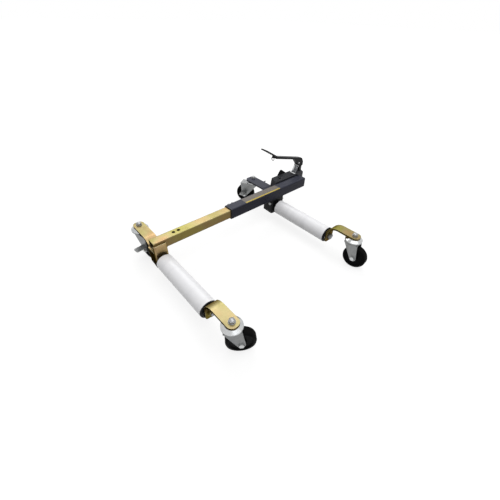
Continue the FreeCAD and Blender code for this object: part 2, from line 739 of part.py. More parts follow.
# The two braked casters trail further, and their crowns reach out over the wheel
trails = {corner: brake_caster_trail if side else caster_trail for corner, side in brake_sides.items()}
for corner, heading in caster_headings.items():
    place = bolt_places[corner]
    brake_side = brake_sides[corner]
    crown_reach = brake_crown_reach if brake_side else fork_crown_half_length
    centre = Vector(trails[corner], 0, wheel_radius)
    solids[corner + "_fork"] = [placed(caster_fork(centre, crown_reach), place, heading)]
    solids[corner + "_wheel"] = [placed(caster_wheel(centre), place, heading)]
    pieces = caster_axle(centre, brake_side)
    solids[corner + "_wheel_axle"] = [placed(piece, place, heading) for piece in pieces]
    if brake_side:
        solids[corner + "_brake"] = [placed(brake_lever(centre, brake_side), place, heading)]

for side in ("left", "right"):
    places = [bolt_places["front_" + side], bolt_places["rear_" + side]]
    solids[side + "_raceways"] = [raceway().translated(place) for place in places]
    solids[side + "_kingpins"] = [piece.translated(place) for place in places for piece in kingpin()]

# Ram: a pulling cylinder in the outer tube, which the hollow inner tube slides over

end_plate = square_bar(outer_bore_half - slide_clearance, outer_bore_corner, ram_end_x, outer_end_x)
solids["end_plate"] = [end_plate]

head = square_bar(outer_bore_half - slide_clearance, outer_bore_corner, head_start_x, ram_end_x)
barrel = rod(ram_radius, Vector(ram_start_x, 0, tube_axis_height), Vector(head_start_x, 0, tube_axis_height))
bore = rod(ram_bore, Vector(ram_start_x, 0, tube_axis_height), Vector(head_start_x, 0, tube_axis_height))
nipple_low = Vector(nipple_x, pump_front_y - nipple_length / 2, nipple_z)
nipple_high = nipple_low + AXIS_Y * nipple_length
port = rod(fit(nipple_radius), nipple_low, nipple_high)
solids["ram_cylinder"] = [barrel.fuse(head).removeSplitter().cut(bore).cut(port)]
solids["oil_nipple"] = [rod(nipple_radius, nipple_low, nipple_high)]

gland_profile = [(-ram_gland_flange, fit(rod_radius)), (-ram_gland_flange, ram_radius), (0, ram_radius)]
gland_profile += [(0, ram_bore - running_clearance), (ram_gland_length, ram_bore - running_clearance)]
gland_profile += [(ram_gland_length, fit(rod_radius))]
solids["ram_gland"] = [turned(gland_profile, Vector(ram_start_x, 0, tube_axis_height), AXIS_X)]

rod_start = Vector(anchor_end_x - rod_engagement, 0, tube_axis_height)
rod_end = Vector(piston_x + piston_length, 0, tube_axis_height)
solids["ram_rod"] = [rod(rod_radius, rod_start, rod_end)]
piston_start = Vector(piston_x, 0, tube_axis_height)
solids["ram_piston"] = [washer(ram_bore - running_clearance, fit(rod_radius), piston_start, rod_end)]

spring_start = rod_end + AXIS_X * face_clearance
spring_end = Vector(head_start_x - face_clearance, 0, tube_axis_height)
spring_inside = return_spring_radius - return_spring_wire
solids["return_spring"] = [washer(return_spring_radius, spring_inside, spring_start, spring_end)]

anchor_start_x = anchor_position - anchor_hole_spacing
anchor_half = inner_bore_half - anchor_fit
anchor = square_bar(anchor_half, inner_bore_corner, anchor_start_x, anchor_end_x)
anchor = anchor.cut(rod(fit(rod_radius), rod_start, Vector(anchor_end_x + 1, 0, tube_axis_height)))
anchor_screws = []
for x in anchor_holes_x:
    socket_low = Vector(x, 0, tube_axis_height + anchor_half - anchor_hole_depth)
    socket = rod(anchor_hole_radius, socket_low, Vector(x, 0, tube_top))
    head_face = Vector(x, 0, inner_bottom)
    shank_end = Vector(x, 0, tube_axis_height)
    thread = rod(fit(anchor_screw_radius), head_face, shank_end)
    anchor = anchor.cut(socket).cut(thread)
    screw = hexagon(anchor_screw_flats, head_face - AXIS_Z * anchor_screw_head, head_face)
    anchor_screws.append(screw.fuse(rod(anchor_screw_radius, head_face, shank_end)).removeSplitter())
solids["rod_anchor"] = [anchor]
solids["anchor_screws"] = anchor_screws

# Fulcrum and plunger: the plunger's line passes the pin at plunger_offset, and the pedal's nose
# is an involute of that radius, so that the plunger's travel is in step with the pedal's turn

plunger_top = plunger_root - plunger_up * (plunger_start + face_clearance)
plunger_foot = gland_seat - plunger_up * plunger_tail

# Pump housing: a casting with a sloped top and a drafted end, and a leaning boss for the plunger's gland

section = [(pump_front_y, pump_bottom), (pump_back_y, pump_bottom)]
section += [(pump_back_y, pump_back_height), (pump_front_y, pump_front_height)]
housing = plate([(Vector(pump_left_x, y, z), 0) for y, z in section], AXIS_X * pump_length)
housing = round_edges(housing, pump_corner, lambda middle, direction:
                      abs(direction.z) > 0.99 and abs(middle.y - pump_back_y) < 0.01)

draft = [Vector(pump_left_x, 0, pump_bottom), Vector(pump_left_x, 0, pump_back_height)]
draft.append(Vector(pump_left_x + pump_end_draft, 0, pump_back_height))
housing = housing.cut(Part.Face(Part.makePolygon(draft + draft[:1])).extrude(AXIS_Y * (pump_back_y + 1)))
boss_foot = gland_seat - plunger_up * gland_spigot
pocket_top = gland_seat + plunger_up * gland_seat_drop
housing = housing.cut(rod(gland_pocket_radius, gland_seat, pocket_top))
housing = housing.fuse(rod(gland_boss_radius, boss_foot, gland_seat)).removeSplitter()

post_low = pump_middle_height - post_depth
post_half_thickness = post_thickness / 2
post_slot = box(pin.x - post_half_width, pin.x + post_half_width, pump_mid_y - post_half_thickness,
                pump_mid_y + post_half_thickness, post_low, pin.z)
post_side = AXIS_Y * post_half_thickness
post = post_slot.fuse(rod(post_half_width, pin - post_side, pin + post_side))
pin_bore = rod(fit(pin_radius), pin - AXIS_Y * pedal_width, pin + AXIS_Y * pedal_width)
solids["fulcrum_post"] = [post.removeSplitter().cut(pin_bore)]
pin_reach = AXIS_Y * (pedal_width / 2 + pin_head)
solids["fulcrum_pin"] = [rod(pin_radius, pin - pin_reach, pin + pin_reach)]

gland_bore = fit(plunger_radius)
spigot_radius = gland_spigot_radius - running_clearance
gland_profile = [(-gland_spigot, gland_bore), (-gland_spigot, spigot_radius), (0, spigot_radius)]
gland_profile += [(0, gland_collar_radius), (gland_collar, gland_collar_radius), (gland_collar, gland_bore)]
solids["plunger_gland"] = [turned(gland_profile, gland_seat, plunger_up)]

plunger = rod(plunger_radius, plunger_foot, plunger_top)
collar = rod(plunger_collar_radius, plunger_top - plunger_up * plunger_collar, plunger_top)
solids["plunger"] = [plunger.fuse(collar).removeSplitter()]

bore_end = plunger_foot - plunger_up * (plunger_travel + plunger_bore_spare)
housing = housing.cut(post_slot).cut(rod(gland_spigot_radius, bore_end, gland_seat + plunger_up))
housing = housing.cut(port)

for place in pump_screw_places:
    seat = place - AXIS_Y * pump_screw_head
    tip = Vector(place.x, outer_bore_half, place.z)
    housing = housing.cut(rod(pump_screw_head_radius + face_clearance, seat, place + AXIS_Y))
    housing = housing.cut(rod(fit(pump_screw_radius), tip, seat))
    socket = hexagon(pump_screw_radius * 2 - 1, place - AXIS_Y * (pump_screw_head / 2), place)
    screw = rod(pump_screw_head_radius, seat, place).fuse(rod(pump_screw_radius, tip, seat)).cut(socket)
    tube_screws.append(screw.removeSplitter())
solids["tube_screws"] = tube_screws

filler_x = pump_left_x + filler_position
filler_seat = Vector(filler_x, pump_mid_y, pump_middle_height - filler_pocket_depth)
housing = housing.cut(rod(filler_pocket_radius, filler_seat, filler_seat + AXIS_Z * pump_depth))
solids["filler_plug"] = [hexagon(filler_flats, filler_seat, filler_seat + AXIS_Z * filler_height)]

# Release lever: a foot plate on the release valve's spindle

spindle = Vector(pump_left_x + release_position, pump_back_y, pump_bottom + release_rise)
spindle_foot = spindle - AXIS_Y * release_spindle_depth
housing = housing.cut(rod(fit(release_spindle_radius), spindle_foot - AXIS_Y * face_clearance, spindle))
solids["pump_housing"] = [housing]

lever_face = spindle + AXIS_Y * release_gap
outline = [(-release_left, 0, 4), (-release_left, release_shoulder, 6)]
outline += [(-release_tip_width, release_tip_height, 3), (0, release_tip_height, 3)]
outline += [(release_right, release_shoulder, 6), (release_right, 0, 4)]
outline += [(release_boss_radius, -release_boss_radius, 6), (-release_boss_radius, -release_boss_radius, 6)]
corners = [(lever_face + AXIS_X * across + AXIS_Z * up, radius) for across, up, radius in outline]
lever = plate(corners, AXIS_Y * release_plate)
lever = lever.fuse(rod(release_spindle_radius, spindle_foot, lever_face))
solids["release_lever"] = [lever.removeSplitter()]

# Plunger spring: one wound wire with close end turns


def arc_from(start, tangent, end):
    """Arc that leaves a point along a tangent and reaches another point."""
    chord = end - start
    direction = Vector(chord).normalize()
    lean = tangent.getAngle(chord)
    side = (tangent - direction * tangent.dot(direction)).normalize()
    middle = (start + end) * 0.5 + side * (chord.Length / 2 * math.tan(lean / 2))
    return Part.Arc(start, middle, end).toShape()


def spring_path(base, up, across, radius, quarter_rises):
    """Helix of quarter turns, each a pair of arcs that meet smoothly."""
    along = up.cross(across)
    points = []
    tangents = []
    rise = 0.0
    for index in range(len(quarter_rises) + 1):
        turn = index * math.pi / 2
        out = across * math.cos(turn) + along * math.sin(turn)
        forward = along * math.cos(turn) - across * math.sin(turn)
        before = quarter_rises[max(index - 1, 0)]
        after = quarter_rises[min(index, len(quarter_rises) - 1)]
        slope = (before + after) / 2 / (radius * math.pi / 2)
        points.append(base + out * radius + up * rise)
        tangents.append((forward + up * slope).normalize())
        if index < len(quarter_rises):
            rise += quarter_rises[index]
    edges = [Part.makeLine(points[0] - tangents[0] * spring_wire, points[0])]
    for index in range(len(quarter_rises)):
        start, end = points[index], points[index + 1]
        first, last = tangents[index], tangents[index + 1]
        chord = end - start
        bend = 2 * (1 - first.dot(last))
        reach = chord.dot(first + last)
        step_out = (math.sqrt(reach * reach + bend * chord.dot(chord)) - reach) / bend
        joint = (start + first * step_out + end - last * step_out) * 0.5
        edges.append(arc_from(start, first, joint))
        back_edge = arc_from(end, last * -1, joint)
        edges.append(back_edge)
    edges.append(Part.makeLine(points[-1], points[-1] + tangents[-1] * spring_wire))
    return Part.Wire(Part.__sortEdges__(edges)), points[0] - tangents[0] * spring_wire, tangents[0]


spring_low = gland_seat + plunger_up * (gland_collar + face_clearance + spring_wire / 2)
spring_high = plunger_top - plunger_up * (plunger_collar + face_clearance + spring_wire / 2)
spring_length = (spring_high - spring_low).Length
end_rise = (spring_wire + spring_end_gap) / 4
end_quarters = 4 * spring_end_turns
middle_quarters = 4 * spring_middle_turns
middle_rise = (spring_length - 2 * end_quarters * end_rise) / middle_quarters
rises = [end_rise] * end_quarters + [middle_rise] * middle_quarters + [end_rise] * end_quarters
spring = spring_path(spring_low, plunger_up, plunger_across, spring_mean_radius, rises)
path, wire_start, wire_direction = spring
wire_section = Part.Wire(Part.makeCircle(spring_wire / 2, wire_start, wire_direction))
spring = path.makePipeShell([wire_section], True, False)
solids["plunger_spring"] = [spring]


def least_self_gap(wire, thickness, apart):
    """Least gap between stretches of a wound wire that lie further apart along it."""
    points = wire.discretize(Distance=1.0)
    gaps = [(points[i] - points[j]).Length for i in range(len(points)) for j in range(i + apart, len(points))]
    return min(gaps) - thickness


half_turn_steps = int(math.pi * spring_mean_radius)
print("plunger spring: least gap to itself %.2f mm" % least_self_gap(path, spring_wire, half_turn_steps))
wire_volume = path.Length * math.pi * spring_wire ** 2 / 4
print("plunger spring: volume %.1f, section times length %.1f" % (spring.Volume, wire_volume))

# Pedal: a folded lever with an involute nose over the plunger and a tread plate at its far end


def from_pin(x, z):
    return Vector(pin.x + x, pump_mid_y - pedal_width / 2, pin.z + z)


def nose_point(turn):
    """Point of the involute that meets the plunger's line once the pedal has turned this far."""
    reach = plunger_start + plunger_offset * turn
    contact = plunger_across * -plunger_offset - plunger_up * reach
    cosine, sine = math.cos(turn), math.sin(turn)
    return from_pin(contact.x * cosine + contact.z * sine, contact.z * cosine - contact.x * sine)


arm_along = Vector(-math.cos(pedal_arm_slope), 0, math.sin(pedal_arm_slope))
arm_up = Vector(math.sin(pedal_arm_slope), 0, math.cos(pedal_arm_slope))
arm_root = from_pin(pedal_root_x, pedal_root_z)
arm_end = arm_root + arm_along * pedal_arm_length
root_top = arm_root + arm_up * (pedal_depth / 2)
root_bottom = arm_root - arm_up * (pedal_depth / 2)
end_top = arm_end + arm_up * (pedal_depth / 2)
end_bottom = arm_end - arm_up * (pedal_depth / 2)
slot_half = post_half_width + side_clearance

nose_steps = 6
nose_span = pedal_press + 2 * nose_lead
nose = [nose_point(-nose_lead + nose_span * index / nose_steps) for index in range(nose_steps + 1)]
nose_curve = Part.BSplineCurve()
nose_curve.interpolate(nose)
heel_left = from_pin(-slot_half / 2, -pedal_heel_drop)
heel_notch = from_pin(-slot_half, -slot_half / 2)


def on_arm(start, x):
    """Point of the arm's upper or lower face at a distance from the pin."""
    return start + arm_along * ((start.x - pin.x - x) / math.cos(pedal_arm_slope))


under_left = on_arm(root_bottom, pedal_throat_x)
profile = [nose[-1], from_pin(pedal_chin_x, pedal_chin_z), under_left, end_bottom, end_top]
profile += [on_arm(root_top, pedal_crest_x), from_pin(pedal_brow_x, pedal_brow_z)]
profile += [from_pin(pedal_heel, pedal_heel_rise), from_pin(pedal_heel, -pedal_heel_drop)]
profile += [heel_left, heel_notch, nose[0]]
edges = [nose_curve.toShape()]
edges += [Part.makeLine(first, last) for first, last in zip(profile[:-1], profile[1:])]
lever = Part.Face(Part.Wire(Part.__sortEdges__(edges))).extrude(AXIS_Y * pedal_width)
heel_x = pin.x + pedal_heel
lever = round_edges(lever, pedal_heel_round, lambda middle, direction:
                    abs(direction.y) > 0.99 and abs(middle.x - heel_x) < 0.01)

# Hollow underside of the arm, and the slot that the fulcrum post swings in, open at the heel
hollow_start = under_left + arm_along * pedal_skin
hollow_low = hollow_start - arm_up * pedal_skin + AXIS_Y * pedal_skin
hollow_end = end_bottom - arm_along * pedal_skin - arm_up * pedal_skin + AXIS_Y * pedal_skin
hollow = [hollow_low, hollow_end, hollow_end + arm_up * pedal_depth, hollow_low + arm_up * pedal_depth]
hollow_width = AXIS_Y * (pedal_width - 2 * pedal_skin)
lever = lever.cut(Part.Face(Part.makePolygon(hollow + hollow[:1])).extrude(hollow_width))

slot_width = post_thickness + 2 * side_clearance
slot_low = pump_mid_y - slot_width / 2
swing = pedal_press + nose_lead / 2
deep = 3 * pedal_heel_drop
open_x = pin.x + 2 * pedal_heel


def swung(x, z):
    cosine, sine = math.cos(swing), math.sin(swing)
    return Vector(pin.x + x * cosine + z * sine, slot_low, pin.z + z * cosine - x * sine)


slot = [Vector(pin.x, slot_low, pin.z), swung(-slot_half, 0), swung(-slot_half, -deep)]
slot += [Vector(open_x, slot_low, pin.z - deep), Vector(open_x, slot_low, pin.z)]
slot_solid = Part.Face(Part.makePolygon(slot + slot[:1])).extrude(AXIS_Y * slot_width)
slot_eye = Vector(pin.x, slot_low, pin.z)
slot_solid = slot_solid.fuse(rod(slot_half, slot_eye, slot_eye + AXIS_Y * slot_width))
lever = lever.cut(slot_solid).cut(pin_bore)

# Cross pin in the pedal's nose, over the plunger
press_low = from_pin(press_pin_x, press_pin_z) - AXIS_Y * press_pin_proud
press_high = press_low + AXIS_Y * (pedal_width + 2 * press_pin_proud)
lever = lever.cut(rod(fit(press_pin_radius), press_low, press_high))
solids["press_pin"] = [rod(press_pin_radius, press_low, press_high)]

# Tread plate: the end of the lever flattened and bent up, with a ribbed tread on it
pad_along = Vector(-math.cos(pad_slope), 0, math.sin(pad_slope))
pad_up = Vector(math.sin(pad_slope), 0, math.cos(pad_slope))
pad_start = Vector(end_top.x, pump_mid_y, end_top.z)


def pad_point(along, across, up):
    return pad_start + pad_along * along + AXIS_Y * across + pad_up * up


def pad_block(low, high, half, bottom, top, corner):
    places = [(low, -half), (high, -half), (high, half), (low, half)]
    corners = [(pad_point(along, across, bottom), corner) for along, across in places]
    return plate(corners, pad_up * (top - bottom))


neck = pad_block(-pad_neck, pad_corner + pad_neck, pedal_width / 2, -pad_plate, 0, 0)
flat = pad_block(pad_neck, pad_length, pad_width / 2, -pad_plate, 0, pad_corner)
lug_top = pad_point(ring_lug_reach, -ring_lug_thickness / 2, -pad_plate / 2)
lug_eye = pad_point(ring_lug_reach, -ring_lug_thickness / 2, -pad_plate) - AXIS_Z * ring_lug_drop
lug_width = AXIS_Y * ring_lug_thickness
lug = rod(ring_lug_radius, lug_eye, lug_eye + lug_width)
web = [lug_eye - AXIS_X * ring_lug_radius, lug_eye + AXIS_X * ring_lug_radius]
web += [lug_top + pad_along * -ring_lug_radius, lug_top + pad_along * ring_lug_radius]
lug = lug.fuse(Part.Face(Part.makePolygon(web + web[:1])).extrude(lug_width))
ring_hole = rod(ring_wire_radius + ring_hole_slack, lug_eye - lug_width, lug_eye + lug_width * 2)
lever = lever.fuse(neck).fuse(flat).fuse(lug).cut(ring_hole)
solids["pedal_arm"] = [lever.removeSplitter()]

tread_low = pad_neck + tread_margin
tread_high = pad_length - tread_margin
tread_half = pad_width / 2 - tread_margin
tread = pad_block(tread_low, tread_high, tread_half, 0, tread_thickness, pad_corner - tread_margin)
rib_pitch = (tread_high - tread_low) / (tread_ribs + 1)
for index in range(tread_ribs):
    middle = tread_low + rib_pitch * (index + 1)
    rib_half = tread_half - pad_corner / 2
    rib = pad_block(middle - rib_pitch / 5, middle + rib_pitch / 5, rib_half, tread_thickness,
                    tread_thickness + tread_rib, 0)
    tread = tread.fuse(rib)
solids["pedal_pad"] = [tread.removeSplitter()]

ring_centre = lug_eye + lug_width * 0.5 - AXIS_Z * ring_mean_radius
solids["pedal_ring"] = [Part.makeTorus(ring_mean_radius, ring_wire_radius, ring_centre, AXIS_X)]

# Move everything so that the origin is on the floor under the middle of the jack, then write it out

whole = Part.makeCompound([piece for pieces in solids.values() for piece in pieces])
bounds = whole.optimalBoundingBox(False)
shift = Vector(-(bounds.XMin + bounds.XMax) / 2, -(bounds.YMin + bounds.YMax) / 2, -bounds.ZMin)

if __name__ == "__main__":
    os.makedirs("parts", exist_ok=True)
    for name, pieces in solids.items():
        shape = pieces[0] if len(pieces) == 1 else Part.makeCompound(pieces)
        shape.translated(shift).exportStep("parts/%s.step" % name)
    print("%d nodes, %.0f x %.0f x %.0f mm" % (len(solids), bounds.XLength, bounds.YLength, bounds.ZLength))
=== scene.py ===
import json
import math

import bpy
from mathutils import Matrix, Vector


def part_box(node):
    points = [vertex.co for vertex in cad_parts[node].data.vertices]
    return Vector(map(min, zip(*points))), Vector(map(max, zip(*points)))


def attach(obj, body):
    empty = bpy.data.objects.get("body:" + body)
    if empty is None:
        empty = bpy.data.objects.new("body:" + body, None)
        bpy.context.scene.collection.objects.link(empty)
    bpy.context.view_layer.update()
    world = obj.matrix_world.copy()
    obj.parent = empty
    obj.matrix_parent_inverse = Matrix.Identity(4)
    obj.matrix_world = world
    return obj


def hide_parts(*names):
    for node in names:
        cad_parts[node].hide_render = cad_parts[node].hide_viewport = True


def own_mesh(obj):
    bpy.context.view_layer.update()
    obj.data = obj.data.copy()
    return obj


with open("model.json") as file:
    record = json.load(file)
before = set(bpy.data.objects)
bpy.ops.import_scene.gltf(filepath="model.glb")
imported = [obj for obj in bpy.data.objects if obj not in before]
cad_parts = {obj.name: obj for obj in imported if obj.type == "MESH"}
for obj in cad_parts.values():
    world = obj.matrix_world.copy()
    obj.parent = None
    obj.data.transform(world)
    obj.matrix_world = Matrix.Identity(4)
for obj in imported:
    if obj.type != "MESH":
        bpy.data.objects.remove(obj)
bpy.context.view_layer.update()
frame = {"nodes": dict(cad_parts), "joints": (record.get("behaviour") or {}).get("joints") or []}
nodes = frame["nodes"]

# Inner frame: a cold-drawn square tube, a folded bracket and bent flat-bar arms of mild steel, zinc
# plated and yellow passivated. The film drifts to pink and green. Its colour also holds painted light:
# the upper faces are painted a paler straw as if lit, the sides of the tube and bars a darker brown as
# painted shade, and faces that look to the left are painted darkest. The right front arm matches.
# Painted light: the first colour is for the lit upper faces; the brown side colour and the side tints below
# are darker shaded copies; the flank colour is painted shade on faces that look to the left.
lit_straw_upper = "#a69a70"
shaded_brown_side = "#7a6c48"
mauve_side = "#bba075"
shaded_left_flank = "#463b1b"
shaded_side_pink = "#7d6142"
shaded_side_green = "#7b7138"
zinc_pink = "#b8906a"
zinc_green = "#989848"
zinc_brown = "#6a5729"
zinc_worn = "#c2bc9c"
zinc_glance = "#5a5030"
# Painted shade: a near-black ring round each anchor socket, which widens the dark of the holes.
hole_shade_black = "#1c1910"
film_patch = 0.12
film_cloud = 0.030
rolled_line = 0.0035
rolled_length = 0.30
bar_edge = 0.0012
fold_edge = 0.0032
# Reach of the painted hole shade round each socket.
hole_shade_start = 0.0078
hole_shade_full = 0.0060
# Where the painted light turns: faces looking up take the lit film, faces looking left the painted shade.
lit_upper_slope = (0.30, 0.75)
shaded_left_slope = (-0.30, -0.75)
tube_seed = 18.7
bar_seed = 3.1
plate_seed = 24.3


def linear(colour):
    """sRGB hex to the linear colour that sockets take."""
    parts = [int(colour[start:start + 2], 16) / 255 for start in (1, 3, 5)]
    return [part / 12.92 if part <= 0.04045 else ((part + 0.055) / 1.055) ** 2.4 for part in parts] + [1.0]


def add(tree, kind, inputs, **settings):
    """One node with its settings; an input is a value or another node's socket."""
    made = tree.nodes.new(kind)
    for name, value in settings.items():
        setattr(made, name, value)
    for socket, value in inputs.items():
        if isinstance(value, bpy.types.NodeSocket):
            tree.links.new(value, made.inputs[socket])
        else:
            made.inputs[socket].default_value = value
    return made


def new_finish(name):
    """Empty material, its tree, and the object coordinates that patterns are drawn on."""
    finish = bpy.data.materials.new(name)
    finish.use_nodes = True
    finish.node_tree.nodes.clear()
    place = add(finish.node_tree, "ShaderNodeTexCoord", {})
    return finish, finish.node_tree, place.outputs["Object"]


def worn_edge(tree, radius, start=0.96, full=0.75):
    """Share of wear, 1 on sharp edges, and the normal that rounds them."""
    rounded = add(tree, "ShaderNodeBevel", {"Radius": radius}, samples=4)
    flat = add(tree, "ShaderNodeNewGeometry", {})
    agree = add(tree, "ShaderNodeVectorMath", {0: rounded.outputs[0], 1: flat.outputs["True Normal"]},
                operation="DOT_PRODUCT")
    share = add(tree, "ShaderNodeMapRange",
                {"Value": agree.outputs["Value"], "From Min": start, "From Max": full})
    return share.outputs[0], rounded.outputs[0]


def tinted(tree, colour, layers):
    """Colour with tints laid over it, each by its own share of the surface."""
    for share, tint in layers:
        colour = add(tree, "ShaderNodeMix", {0: share, 6: colour, 7: linear(tint)},
                     data_type="RGBA").outputs[2]
    return colour


def shade(finish, inputs):
    """Close a material with its surface shader."""
    tree = finish.node_tree
    surface = add(tree, "ShaderNodeBsdfPrincipled", inputs)
    add(tree, "ShaderNodeOutputMaterial", {"Surface": surface.outputs[0]})
    return finish


def dress(names, finish):
    """Put a material on CAD nodes."""
    for name in names:
        slots = nodes[name].data.materials
        slots.clear()
        slots.append(finish)


def facing_share(tree, axis, slopes):
    """Share of a face that looks along an axis: 0 at the first slope and 1 at the second."""
    faced = add(tree, "ShaderNodeNewGeometry", {})
    tilt = add(tree, "ShaderNodeSeparateXYZ", {0: faced.outputs["Normal"]})
    share = add(tree, "ShaderNodeMapRange",
                {"Value": tilt.outputs[axis], "From Min": slopes[0], "From Max": slopes[1]})
    return share.outputs[0]


def painted_hole_shade(tree, place):
    """Share of painted shade round the two anchor sockets in the tube's top, near its left end: a dark
    ring that widens the shaded holes.
    """
    screw_low, screw_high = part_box("anchor_screws")
    middle = (screw_low + screw_high) / 2
    near = [vertex.co.x for vertex in nodes["anchor_screws"].data.vertices if vertex.co.x < middle.x]
    half_spacing = middle.x - (min(near) + max(near)) / 2
    axes = add(tree, "ShaderNodeSeparateXYZ", {0: place})
    from_middle = add(tree, "ShaderNodeMath", {0: axes.outputs["X"], 1: middle.x}, operation="SUBTRACT")
    either = add(tree, "ShaderNodeMath", {0: from_middle.outputs[0]}, operation="ABSOLUTE")
    from_socket = add(tree, "ShaderNodeMath", {0: either.outputs[0], 1: half_spacing}, operation="SUBTRACT")
    aside = add(tree, "ShaderNodeMath", {0: axes.outputs["Y"], 1: middle.y}, operation="SUBTRACT")
    flat = add(tree, "ShaderNodeCombineXYZ", {"X": from_socket.outputs[0], "Y": aside.outputs[0]})
    reach = add(tree, "ShaderNodeVectorMath", {0: flat.outputs[0]}, operation="LENGTH")
    share = add(tree, "ShaderNodeMapRange",
                {"Value": reach.outputs["Value"], "From Min": hole_shade_start, "From Max": hole_shade_full})
    return share.outputs[0]


def yellow_zinc(name, side_colour, edge, grain, film_seed, hole_shaded=False):
    """Yellow passivated zinc: a soft mirror with rainbow clouds and lines along the rolling. Its colour
    holds painted light: a paler straw on the upper faces as if lit, a darker side film as painted shade,
    darkest on faces that look to the left. The real lines are about 1 mm wide and are drawn coarser to show."""
    finish, tree, place = new_finish(name)
    patch = add(tree, "ShaderNodeTexNoise",
                {"Vector": place, "W": film_seed, "Scale": 1 / film_patch, "Detail": 2.0, "Distortion": 0.4},
                noise_dimensions="4D")
    cloud = add(tree, "ShaderNodeTexNoise", {"Vector": place, "Scale": 1 / film_cloud, "Detail": 5.0})
    pink = add(tree, "ShaderNodeMapRange",
               {"Value": patch.outputs[0], "From Min": 0.50, "From Max": 0.64, "To Max": 0.65})
    green = add(tree, "ShaderNodeMapRange",
                {"Value": patch.outputs[0], "From Min": 0.50, "From Max": 0.36, "To Max": 0.55})
    brown = add(tree, "ShaderNodeMapRange",
                {"Value": cloud.outputs[0], "From Min": 0.52, "From Max": 0.78, "To Max": 0.25})
    worn, rounded = worn_edge(tree, edge, start=0.97, full=0.80)
    # Painted light: lit straw on upward faces, a shaded side film elsewhere, painted darkest to the left.
    upper = tinted(tree, linear(lit_straw_upper), [(pink.outputs[0], zinc_pink), (green.outputs[0], zinc_green)])
    side = tinted(tree, linear(side_colour),
                  [(pink.outputs[0], shaded_side_pink), (green.outputs[0], shaded_side_green),
                   (facing_share(tree, "X", shaded_left_slope), shaded_left_flank)])
    lit_and_shaded_film = add(tree, "ShaderNodeMix", {0: facing_share(tree, "Z", lit_upper_slope), 6: side, 7: upper},
                  data_type="RGBA")
    layers = [(brown.outputs[0], zinc_brown), (worn, zinc_worn)]
    # Painted shade round the two anchor sockets, which widens the holes.
    if hole_shaded:
        layers.append((painted_hole_shade(tree, place), hole_shade_black))
    shown = tinted(tree, lit_and_shaded_film.outputs[2], layers)
    stretched = add(tree, "ShaderNodeMapping", {"Vector": place, "Scale": grain})
    lines = add(tree, "ShaderNodeTexNoise", {"Vector": stretched.outputs[0], "Scale": 1.0, "Detail": 2.0})
    gloss = add(tree, "ShaderNodeMapRange", {"Value": cloud.outputs[0], "To Min": 0.30, "To Max": 0.50})
    relief = add(tree, "ShaderNodeBump", {"Strength": 0.10, "Distance": 0.0006, "Height": lines.outputs[0],
                                          "Normal": rounded})
    return shade(finish, {"Base Color": shown, "Metallic": 1.0, "Roughness": gloss.outputs[0],
                          "Normal": relief.outputs[0], "Specular Tint": linear(zinc_glance)})


along_x = (1 / rolled_length, 1 / rolled_line, 1 / rolled_line)
along_y = (1 / rolled_line, 1 / rolled_length, 1 / rolled_line)
zinc_tube = yellow_zinc("yellow_passivated_drawn_tube", shaded_brown_side, bar_edge, along_x, tube_seed,
                        hole_shaded=True)
zinc_bar = yellow_zinc("yellow_passivated_flat_bar", shaded_brown_side, bar_edge, along_y, bar_seed)
zinc_plate = yellow_zinc("yellow_passivated_folded_plate", mauve_side, fold_edge, along_x, plate_seed)
dress(["inner_tube"], zinc_tube)
dress(["left_bracket"], zinc_plate)
dress(["left_rear_arm", "left_front_arm", "right_front_arm"], zinc_bar)

# Weld beads of the inner frame: arc-welded fillets that join the bracket to the tube and to the
# rear arm. They are plated with the frame, so only their ripples set them apart.
bead_radius = 0.0023
bead_pitch = 0.0021
bead_jitter = 0.14
bead_segments = 10
bead_rings = 6
inner_weld_seed = 3
seam_end = 0.002
side_seam_start = 0.003
leg_seam_start = 0.018
corner_inset = 0.006


def new_maker(name, sizes):
    """Geometry Nodes group with named inputs, and the sockets that give them."""
    group = bpy.data.node_groups.new(name, "GeometryNodeTree")
    group.interface.new_socket("Geometry", in_out="INPUT", socket_type="NodeSocketGeometry")
    for size, kind in sizes.items():
        group.interface.new_socket(size, in_out="INPUT", socket_type=kind)
    group.interface.new_socket("Material", in_out="INPUT", socket_type="NodeSocketMaterial")
    group.interface.new_socket("Geometry", in_out="OUTPUT", socket_type="NodeSocketGeometry")
    return group, add(group, "NodeGroupInput", {}).outputs


def close_maker(group, given, shape):
    """End of a group: smooth, real geometry with its material."""
    smooth = add(group, "GeometryNodeSetShadeSmooth", {0: shape})
    real = add(group, "GeometryNodeRealizeInstances", {0: smooth.outputs[0]})
    painted = add(group, "GeometryNodeSetMaterial", {0: real.outputs[0], "Material": given["Material"]})
    add(group, "NodeGroupOutput", {0: painted.outputs[0]})


def piece_from(name, group, sizes, place=Matrix.Identity(4), runs=()):
    """Plain mesh from a group, at the origin; runs are straight paths that the group follows."""
    mesh = bpy.data.meshes.new(name)
    points = [point for run in runs for point in run]
    mesh.from_pydata(points, [(2 * index, 2 * index + 1) for index in range(len(runs))], [])
    piece = bpy.data.objects.new(name, mesh)
    bpy.context.scene.collection.objects.link(piece)
    step = piece.modifiers.new(name, "NODES")
    step.node_group = group
    for socket in group.interface.items_tree:
        if socket.in_out == "INPUT" and socket.name in sizes:
            step[socket.identifier] = sizes[socket.name]
    bpy.context.view_layer.update()
    seen = piece.evaluated_get(bpy.context.evaluated_depsgraph_get())
    final = bpy.data.meshes.new_from_object(seen)
    piece.modifiers.clear()
    piece.data = final
    final.transform(place)
    return piece


